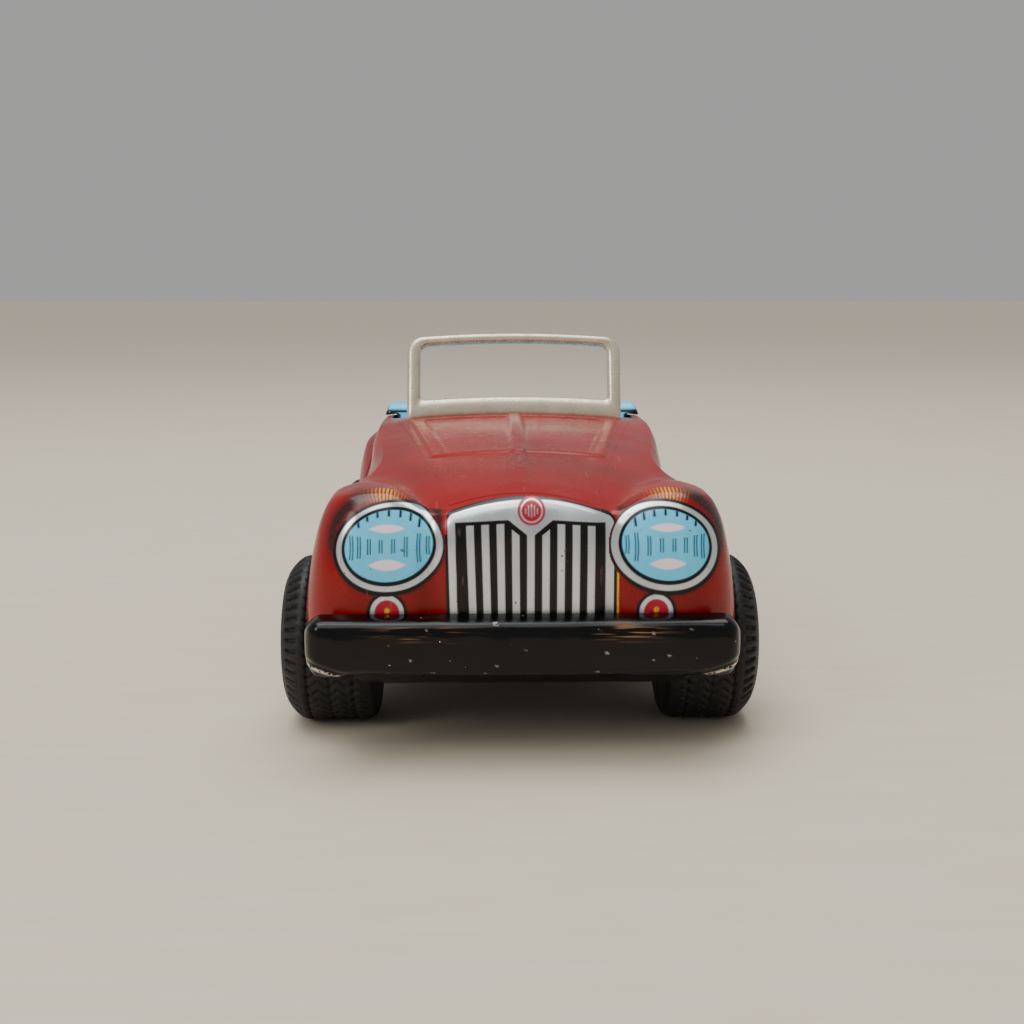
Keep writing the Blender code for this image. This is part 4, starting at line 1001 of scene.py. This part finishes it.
def bumper(name, front):
    """A drawn bar with a flat top, a rounded brow and pinched lower corners, open at the back."""
    half_length, low, high = 31.3, 13.25, 21.85
    u = np.linspace(-1, 1, 241)[None, :]
    u = np.sin(u * math.pi / 2) * 0.55 + u * 0.45
    v = np.linspace(0, 1, 61)[:, None]
    section_depth = [(0.0, 0.0), (0.08, 0.42), (0.17, 0.74), (0.27, 0.92), (0.42, 1.0), (0.58, 0.96),
                     (0.74, 0.82), (0.88, 0.54), (1.0, 0.0)]
    section_drop = [(0.0, 0.0), (0.08, 0.015), (0.17, 0.055), (0.27, 0.15), (0.42, 0.36), (0.58, 0.60),
                    (0.74, 0.81), (0.88, 0.94), (1.0, 1.0)]
    depth = along(section_depth, v) + 0 * u
    drop = along(section_drop, v) + 0 * u
    end = np.clip((np.abs(u) - 0.90) / 0.10, 0, 1)
    depth = depth * np.sqrt(np.clip(1 - end ** 2.6, 0, 1))
    x = half_length * u + 0 * v
    a = np.abs(x)
    depth = depth + 0.05 * np.exp(-((a - 17.0) / 3.2) ** 2) * np.sin(np.pi * v) ** 2
    pinch = np.exp(-((a - 27.6) / 2.6) ** 2)
    bottom = low - 0.7 * pinch + 2.0 * np.clip((a - 29.4) / 1.9, 0, 1) ** 2 - 0.35 * np.exp(-(a / 16) ** 4)
    top = high - 2.3 * np.clip((a - 28.6) / 2.7, 0, 1) ** 2.4
    z = top - drop * (top - bottom)
    crease = segment(a, z, 30.7, 15.0, 25.4, 12.9, 0.1)
    depth = depth - 0.10 * np.exp(-((crease - 0.5) / 0.5) ** 2) * (drop > 0.6)
    dent = 0.03 * np.sin(x * 0.31 + 1.0) * np.sin(x * 0.17) + 0.010 * np.sin(x * 0.9 + z)
    depth = np.clip(depth + dent * np.sin(np.pi * v) ** 2, 0, 1.0)
    sign = -1 if front else 1
    start = -0.06 if front else BODY_LENGTH + 0.06
    points = np.stack([x, start + sign * (BUMPER_DEPTH - 0.1) * depth, z], axis=-1)
    rng = np.random.default_rng(5 if front else 8)
    bare = np.zeros_like(x)
    for _ in range(BUMPER_CHIPS):
        cx, cz, radius = rng.uniform(-30, 30), rng.uniform(13.5, 21.4), rng.uniform(0.10, 0.30) ** 1.2
        bare = np.maximum(bare, inside(np.hypot(x - cx, (z - cz) * 1.4) - radius, 0.3))
    bare = np.maximum(bare, inside(crease - 0.16, 0.25) * (drop > 0.5))
    rubbed = np.exp(-((a - 14.5) / 4.5) ** 2) * np.exp(-((z - 20.0) / 0.9) ** 2)
    mesh, _ = grid_mesh(name, points)
    write_masks(mesh, {"bare": bare, "rubbed": rubbed})
    made = link(name, mesh, [ENAMEL, LACQUER], 50)
    outward = sum(p.normal.y * p.area for p in mesh.polygons)
    if outward * sign < 0:
        mesh.flip_normals()
    thick = made.modifiers.new("tin", "SOLIDIFY")
    thick.thickness = PAN_TIN * MM
    thick.offset = -1.0
    thick.material_offset_rim = 0
    return settle(made, "car_body", "black_enamel")


# ---------------------------------------------------------------- windscreen, seats, steering

def windscreen():
    """A cast frame of rounded section, leaning back, with no glass."""
    half_width, height, corner = 20.0, 16.1, 2.8
    opening_half, opening_low, opening_high, opening_corner = 17.5, 4.0, 14.3, 1.6
    thick, rise = 2.4, 0.9
    base = float(top_height(half_width, WINDSCREEN_S)) - 0.12

    def loop(half, low, high, radius, foot):
        """Points anticlockwise, with the same count whatever the size."""
        quarter = [math.pi / 2 * k / 12 for k in range(13)]
        right = [(half * 0.9 * k / 14, low) for k in range(14)]
        right += [(half - foot + foot * math.sin(a), low + foot - foot * math.cos(a)) for a in quarter]
        right += [(half, low + foot + (high - radius - low - foot) * k / 10) for k in range(1, 10)]
        right += [(half - radius + radius * math.cos(a),
                   high - radius + radius * math.sin(a)) for a in quarter]
        right += [((half - radius) * (1 - k / 14), high) for k in range(1, 15)]
        return np.array(right + [(-x, z) for x, z in reversed(right[1:-1])])

    outer = loop(half_width, 0.0, height, corner, 0.5)
    inner = loop(opening_half, opening_low, opening_high, opening_corner, 1.0)
    sections = 20
    rows = []
    for k in range(sections):
        a = 2 * math.pi * k / sections
        share = 0.5 - 0.5 * math.copysign(abs(math.cos(a)) ** 0.8, math.cos(a))
        depth = thick / 2 - thick / 2 * math.copysign(abs(math.sin(a)) ** 0.75, math.sin(a))
        flat = outer * (1 - share) + inner * share
        x, z = flat[:, 0], flat[:, 1]
        z = z + rise * (1 - (x / half_width) ** 2)
        s = WINDSCREEN_S - thick / 2 + depth * math.cos(WINDSCREEN_LEAN) + z * math.sin(WINDSCREEN_LEAN)
        up = base + z * math.cos(WINDSCREEN_LEAN) - depth * math.sin(WINDSCREEN_LEAN)
        rows.append(np.stack([x, s, up], axis=-1))
    mesh, _ = grid_mesh("windscreen_casting", np.array(rows), closed=(True, True))
    made = link("windscreen_casting", mesh, [NICKEL], 70)
    face_outward(mesh)
    settle(made, "car_body", "plated", "windscreen_frame")
    bm = bmesh.new()
    for x in (-15.0, 15.0):
        add_box(bm, (x - 1.5, WINDSCREEN_S - 0.3, 41.0), (x + 1.5, WINDSCREEN_S + 0.3, base + 1.2))
    tabs = from_bmesh("windscreen_tabs", bm, [NICKEL])
    bevel = tabs.modifiers.new("round", "BEVEL")
    bevel.width = 0.12 * MM
    bevel.segments = 2
    settle(tabs, "car_body", "plated")


SEAT_KNOTS = [(65.2, 41.2), (64.3, 39.4), (63.4, 36.6), (62.9, 33.0), (62.6, 31.0), (61.4, 29.3),
              (61.0, 27.6), (61.4, 26.1), (63.0, 26.0), (67.6, 26.0), (69.0, 26.4), (69.6, 28.6),
              (70.1, 30.7), (71.4, 31.9), (73.6, 31.9), (76.0, 31.3), (77.2, 31.9), (77.9, 34.0),
              (79.0, 38.6), (79.7, 42.4), (80.5, 44.2), (82.0, 44.95), (84.0, 44.95), (85.8, 44.5),
              (87.2, 43.9)]


def seats():
    """Dash, floor, bench and back of one sheet; the roll along its top comes down on the rear deck."""
    knots = np.array(SEAT_KNOTS)
    reach = np.concatenate([[0], np.cumsum(np.hypot(*np.diff(knots, axis=0).T))])
    t = np.linspace(0, reach[-1], 170)
    s = np.interp(t, reach, knots[:, 0])
    z = np.interp(t, reach, knots[:, 1])
    kernel = np.exp(-(np.arange(-5, 6) / 1.5) ** 2)
    kernel /= kernel.sum()
    s = np.convolve(np.pad(s, 5, mode="edge"), kernel, "valid")
    z = np.convolve(np.pad(z, 5, mode="edge"), kernel, "valid")
    half = 22.8 + 2.4 * smooth(z - 43.3, 0.8) * (s > 74)
    u = np.linspace(-1, 1, 200)
    x = half[:, None] * u[None, :]
    s = s[:, None] + 0 * x
    z = z[:, None] + 0 * x
    deck = top_height(x, s) + 0.45
    drop = np.clip((s - 84.4) / 2.6, 0, 1)
    z = np.where(s > 84.4, z * (1 - drop) + deck * drop, z)
    edge = np.clip((np.abs(x) - half[:, None] + 1.6) / 1.6, 0, 1)
    side_foot = top_height(x, s) + 0.25
    z = np.where((z > 43.0) & (s > 79), z * (1 - edge ** 3) + np.minimum(side_foot, z) * edge ** 3, z)
    cushion = (s > 69.4) & (s < 84)
    pleat = 0.30 * np.abs(np.sin(math.pi * (x + 1.6) / 3.2)) ** 0.7
    divide = 1 - np.exp(-(x / 1.2) ** 2)
    border = np.clip((half[:, None] - np.abs(x)) / 2.2, 0, 1)
    back_area = np.clip((z - 32.6) / 1.2, 0, 1) * np.clip((43.2 - z) / 1.2, 0, 1) * (s > 76.5)
    seat_area = np.clip((s - 70.4) / 1.2, 0, 1) * np.clip((76.0 - s) / 1.0, 0, 1) * (z > 30)
    puff = pleat * divide * border * np.maximum(back_area, seat_area) * cushion
    s_out = s - puff * back_area
    z_out = z + puff * seat_area
    points = np.stack([x, s_out, z_out], axis=-1)
    pleated = np.maximum(back_area, seat_area)
    seam = inside(np.abs(((x + 1.6) / 3.2 + 0.5) % 1.0 - 0.5) * 3.2 - 0.13, 0.2) * pleated
    piping = inside(np.abs(z - 43.45) - 0.22, 0.2) * (s > 78) * (s < 81.5)
    rim = inside(half[:, None] - np.abs(x) - 0.45, 0.25) * (s > 69)
    black = np.maximum(np.maximum(seam * 0.85, piping), rim)
    white = np.zeros_like(x)
    silver = np.zeros_like(x)
    for cx, radius in ((-4.0, 2.1), (1.2, 2.1), (6.0, 1.3), (9.4, 1.3)):
        dial = np.hypot(x - cx, z - 37.2)
        on_dash = (s < 66) & (z > 33)
        silver = np.maximum(silver, inside(np.abs(dial - radius) - 0.22) * on_dash)
        white = np.maximum(white, inside(dial - radius + 0.2) * on_dash)
        angle = np.arctan2(z - 37.2, x - cx)
        ticks = (np.abs(dial - radius * 0.72) < radius * 0.13) * (np.cos(angle * 12) > 0.6)
        needle = inside(segment(x, z, cx, 37.2, cx + radius * 0.45, 37.2 + radius * 0.4, 0.25))
        black = np.maximum(black, (ticks * 0.9 + needle * (dial < radius)) * on_dash)
    floor_area = (z < 30.5) * (s < 70.2)
    mesh, _ = grid_mesh("seat_print", points)
    layers = {"black": np.clip(black, 0, 1), "white": white, "silver": silver, "grey": floor_area * 0.9}
    write_masks(mesh, layers)
    if sum(p.normal.z * p.area for p in mesh.polygons) < 0:
        mesh.flip_normals()
    made = link("seat_print", mesh, [BLUE, LACQUER], 60)
    thick = made.modifiers.new("tin", "SOLIDIFY")
    thick.thickness = TIN * MM
    thick.offset = 0.0
    thick.material_offset = 1
    settle(made, "car_body", "blue_litho", "seat_pressing")


def steering():
    """The steering wheel: a rim with finger grips behind it, three tapered spokes and a domed hub."""
    lean = math.radians(32)
    direction = Vector((0.0, math.cos(lean), math.sin(lean)))
    turn = Vector((1.0, 0.0, 0.0)).rotation_difference(direction).to_matrix().to_4x4()
    foot = at(-11.0, 63.9, 36.0) + direction * 7.5 * MM
    place = Matrix.Translation(foot) @ turn
    radius = 5.2
    bm = bmesh.new()
    tube_radius, rim_steps, tube_sides = 0.5, 96, 14
    rings = []
    for k in range(rim_steps):
        a = 2 * math.pi * k / rim_steps
        grip = tube_radius * (0.90 + 0.10 * math.cos(a * 24))
        ring = []
        for j in range(tube_sides):
            b = 2 * math.pi * j / tube_sides
            r = radius + grip * 0.95 * math.sin(b)
            ring.append(bm.verts.new((grip * math.cos(b) * MM, r * math.cos(a) * MM, r * math.sin(a) * MM)))
        rings.append(ring)
    for first, second in zip(rings, rings[1:] + rings[:1]):
        for j in range(tube_sides):
            n = (j + 1) % tube_sides
            bm.faces.new((first[j], first[n], second[n], second[j]))
    for k in range(3):
        angle = math.radians(90 + 120 * k)
        ends = []
        for r, half, deep in ((0.9, 0.62, 0.30), (2.6, 0.42, 0.24), (radius - 0.1, 0.36, 0.22)):
            ring = []
            for j in range(8):
                b = 2 * math.pi * j / 8
                y, w = r, half * math.cos(b)
                spot = Vector((0.2 + deep * math.sin(b), y, w)) * MM
                ring.append(bm.verts.new(Matrix.Rotation(angle, 4, "X") @ spot))
            ends.append(ring)
        for first, second in zip(ends, ends[1:]):
            for j in range(8):
                n = (j + 1) % 8
                bm.faces.new((first[j], first[n], second[n], second[j]))
        bm.faces.new(ends[0])
        bm.faces.new(list(reversed(ends[-1])))
    hub = lathe(rounded_profile([(0.1, 0), (0.1, 1.5), (0.7, 1.5), (1.25, 0.8), (1.35, 0)], 0.3), 40, False)
    mesh = bpy.data.meshes.new("hub")
    hub.to_mesh(mesh)
    hub.free()
    bm.from_mesh(mesh)
    bpy.data.meshes.remove(mesh)
    bmesh.ops.transform(bm, matrix=place, verts=bm.verts)
    made = from_bmesh("steering_wheel_rim", bm, [CREAM], 40)
    settle(made, "steering_wheel_body", "cream_plastic", "steering_wheel")


# ---------------------------------------------------------------- wheels

TREAD_BLOCKS = 46


def tyre(name, side, axle):
    """A moulded tyre: zigzag grooves across the tread, notched shoulders and a plain ringed side wall."""
    bore = 7.42
    section = [(TYRE_INNER, bore), (TYRE_INNER, 9.6), (TYRE_INNER + 0.15, 11.6), (TYRE_INNER + 0.7, 12.5),
               (TYRE_INNER + 1.7, 12.93), (TYRE_INNER + 2.6, 13.0), (28.0, 13.0), (33.4, 13.0), (34.1, 12.78),
               (34.9, 12.2), (35.7, 11.35), (36.2, 10.6), (36.5, 9.95), (TYRE_OUTER, 9.5),
               (TYRE_OUTER - 0.08, 9.1),
               (36.35, 8.7), (36.30, 8.0), (36.30, bore)]
    knots = np.array(section, float)
    reach = np.concatenate([[0], np.cumsum(np.hypot(*np.diff(knots, axis=0).T))])
    t = np.linspace(0, reach[-1], 84)
    x = np.interp(t, reach, knots[:, 0])
    r = np.interp(t, reach, knots[:, 1])
    steps = TREAD_BLOCKS * 8
    a = (2 * np.pi * np.arange(steps) / steps)[None, :]
    x, r = x[:, None] + 0 * a, r[:, None] + 0 * a
    phase = (a * TREAD_BLOCKS / (2 * np.pi)) % 1.0
    notch = smooth(0.22 - np.abs(phase - 0.5), 0.16)
    on_shoulder = np.clip((x - 33.6) / 0.5, 0, 1) * np.clip((35.9 - x) / 0.5, 0, 1)
    on_shoulder = on_shoulder * np.clip((r - 11.0) / 0.4, 0, 1)
    fine = (a * TREAD_BLOCKS / (2 * np.pi) + 0.35 * np.sin((x - 24.0) * 2.1)) % 1.0
    groove = smooth(0.13 - np.abs(fine - 0.5), 0.14)
    on_tread = np.clip((x - TYRE_INNER - 1.2) / 0.6, 0, 1) * np.clip((33.2 - x) / 0.5, 0, 1) * (r > 12.6)
    rings = sum(np.exp(-((x - c) / 0.22) ** 2) for c in (25.6, 29.0, 32.4)) * (r > 12.6)
    depth = 0.62 * notch * on_shoulder + 0.26 * groove * on_tread + 0.30 * rings
    outer_lines = 0.10 * np.exp(-((r - 10.3) / 0.12) ** 2) * (x > 35.5)
    r = np.minimum(r - depth, WHEEL_RADIUS)
    x = x - outer_lines
    points = np.stack([side * x, axle[0] + r * np.cos(a), axle[1] + r * np.sin(a)], axis=-1)
    mesh, _ = grid_mesh(name, points, closed=(True, True))
    face_outward(mesh)
    return link(name, mesh, [RUBBER], 38)


def turned(name, profile, segments, side, axle, material):
    bm = lathe([(side * x, r) for x, r in profile], segments, all(r > 0 for _, r in profile))
    bmesh.ops.translate(bm, verts=bm.verts, vec=at(0, *axle))
    return from_bmesh(name, bm, [material], 32)


HUB_SECTION = [(21.9, 1.05), (21.9, 2.4), (28.6, 2.6), (28.6, 6.4), (23.0, 6.4), (23.0, 7.4), (35.2, 7.4),
               (35.2, 6.4), (30.0, 6.4), (30.0, 1.05)]
CAP_SECTION = [(35.25, 0), (35.25, 7.0), (35.75, 7.25), (36.05, 6.95), (35.95, 6.2), (35.75, 5.7),
               (35.9, 5.2),
               (36.25, 4.4), (36.2, 3.6), (36.05, 3.1), (36.3, 2.5), (36.5, 1.5), (36.58, 0)]


def wheels():
    for label, axle in (("front", FRONT_AXLE), ("rear", REAR_AXLE)):
        for hand, side in (("left", -1), ("right", 1)):
            body_name = f"{label}_wheelset"
            made = tyre(f"{label}_tyre_rubber_{hand}", side, axle)
            settle(made, body_name, "rubber_tyre", f"{label}_tyre_{hand}")
            made = turned(f"{label}_hub_moulding_{hand}", rounded_profile(HUB_SECTION, 0.3), 72, side, axle,
                          HUB)
            settle(made, body_name, "wheel_plastic", f"{label}_hub_{hand}")
            made = turned(f"{label}_cap_pressing_{hand}", rounded_profile(CAP_SECTION, 0.35, 4), 96, side,
                          axle,
                          CAP_NICKEL)
            settle(made, body_name, "plated", f"{label}_hubcap_{hand}")


def finish_cad_nodes():
    """The mechanism stays as the CAD made it, with real metals."""
    metals = {"axle_gear": BRASS, "lay_gear": BRASS, "flywheel_left": CAST, "flywheel_right": CAST}
    for name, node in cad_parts.items():
        if node.hide_render:
            continue
        node.data.materials.clear()
        node.data.materials.append(metals.get(name, STEEL))


# ---------------------------------------------------------------- stage

def area_light(name, place, target, size, power, colour=(1, 1, 1)):
    data = bpy.data.lights.new(name, "AREA")
    data.shape = "RECTANGLE"
    data.size, data.size_y = size
    data.energy = power
    data.color = colour
    made = bpy.data.objects.new(name, data)
    made.location = place
    made.rotation_euler = (Vector(target) - Vector(place)).to_track_quat("-Z", "Y").to_euler()
    made.visible_camera = False
    bpy.context.scene.collection.objects.link(made)


def stage():
    bm = bmesh.new()
    bmesh.ops.create_grid(bm, x_segments=2, y_segments=2, size=6.0)
    net = Net("pale_floor")
    colour = net.mix(net.noise(40.0, 4.0, 0.6, (1.0, 6.0, 1.0)), ink(198, 184, 164), ink(212, 200, 182))
    floor_material = net.set(Base_Color=colour, Roughness=0.6)
    mesh = bpy.data.meshes.new("floor")
    bm.to_mesh(mesh)
    bm.free()
    floor = bpy.data.objects.new("floor", mesh)
    floor.data.materials.append(floor_material)
    bpy.context.scene.collection.objects.link(floor)
    world = bpy.context.scene.world or bpy.data.worlds.new("world")
    bpy.context.scene.world = world
    world.use_nodes = True
    background = world.node_tree.nodes["Background"]
    background.inputs["Color"].default_value = (0.86, 0.86, 0.85, 1.0)
    background.inputs["Strength"].default_value = 0.45
    area_light("overhead", (-0.05, 0.10, 0.75), (0, 0.0, 0.02), (0.8, 0.5), 5.0)
    area_light("front_left", (-0.62, -0.55, 0.50), (0, 0, 0.02), (0.30, 0.40), 2.6, (1.0, 0.98, 0.95))

    sun = bpy.data.objects.new("soft_sun", bpy.data.lights.new("soft_sun", "SUN"))
    sun.data.energy = 1.3
    sun.data.angle = math.radians(45)
    sun.rotation_euler = (math.radians(18), math.radians(-12), 0.0)
    bpy.context.scene.collection.objects.link(sun)

    data = bpy.data.cameras.new("camera")
    data.lens = 46.6
    data.sensor_width = 36.0
    data.clip_start = 0.01
    data.clip_end = 50.0
    camera = bpy.data.objects.new("camera", data)
    camera.location = (-0.005, -0.2507, 0.068)
    camera.rotation_euler = (math.radians(90 - 9.63), 0.0, math.radians(-1.07))
    bpy.context.scene.collection.objects.link(camera)
    bpy.context.scene.camera = camera


body()
bonnet()
nose_prints()
other_prints()
base_pan()
bumper("bumper_front", True)
bumper("bumper_rear", False)
windscreen()
seats()
steering()
wheels()
finish_cad_nodes()
stage()
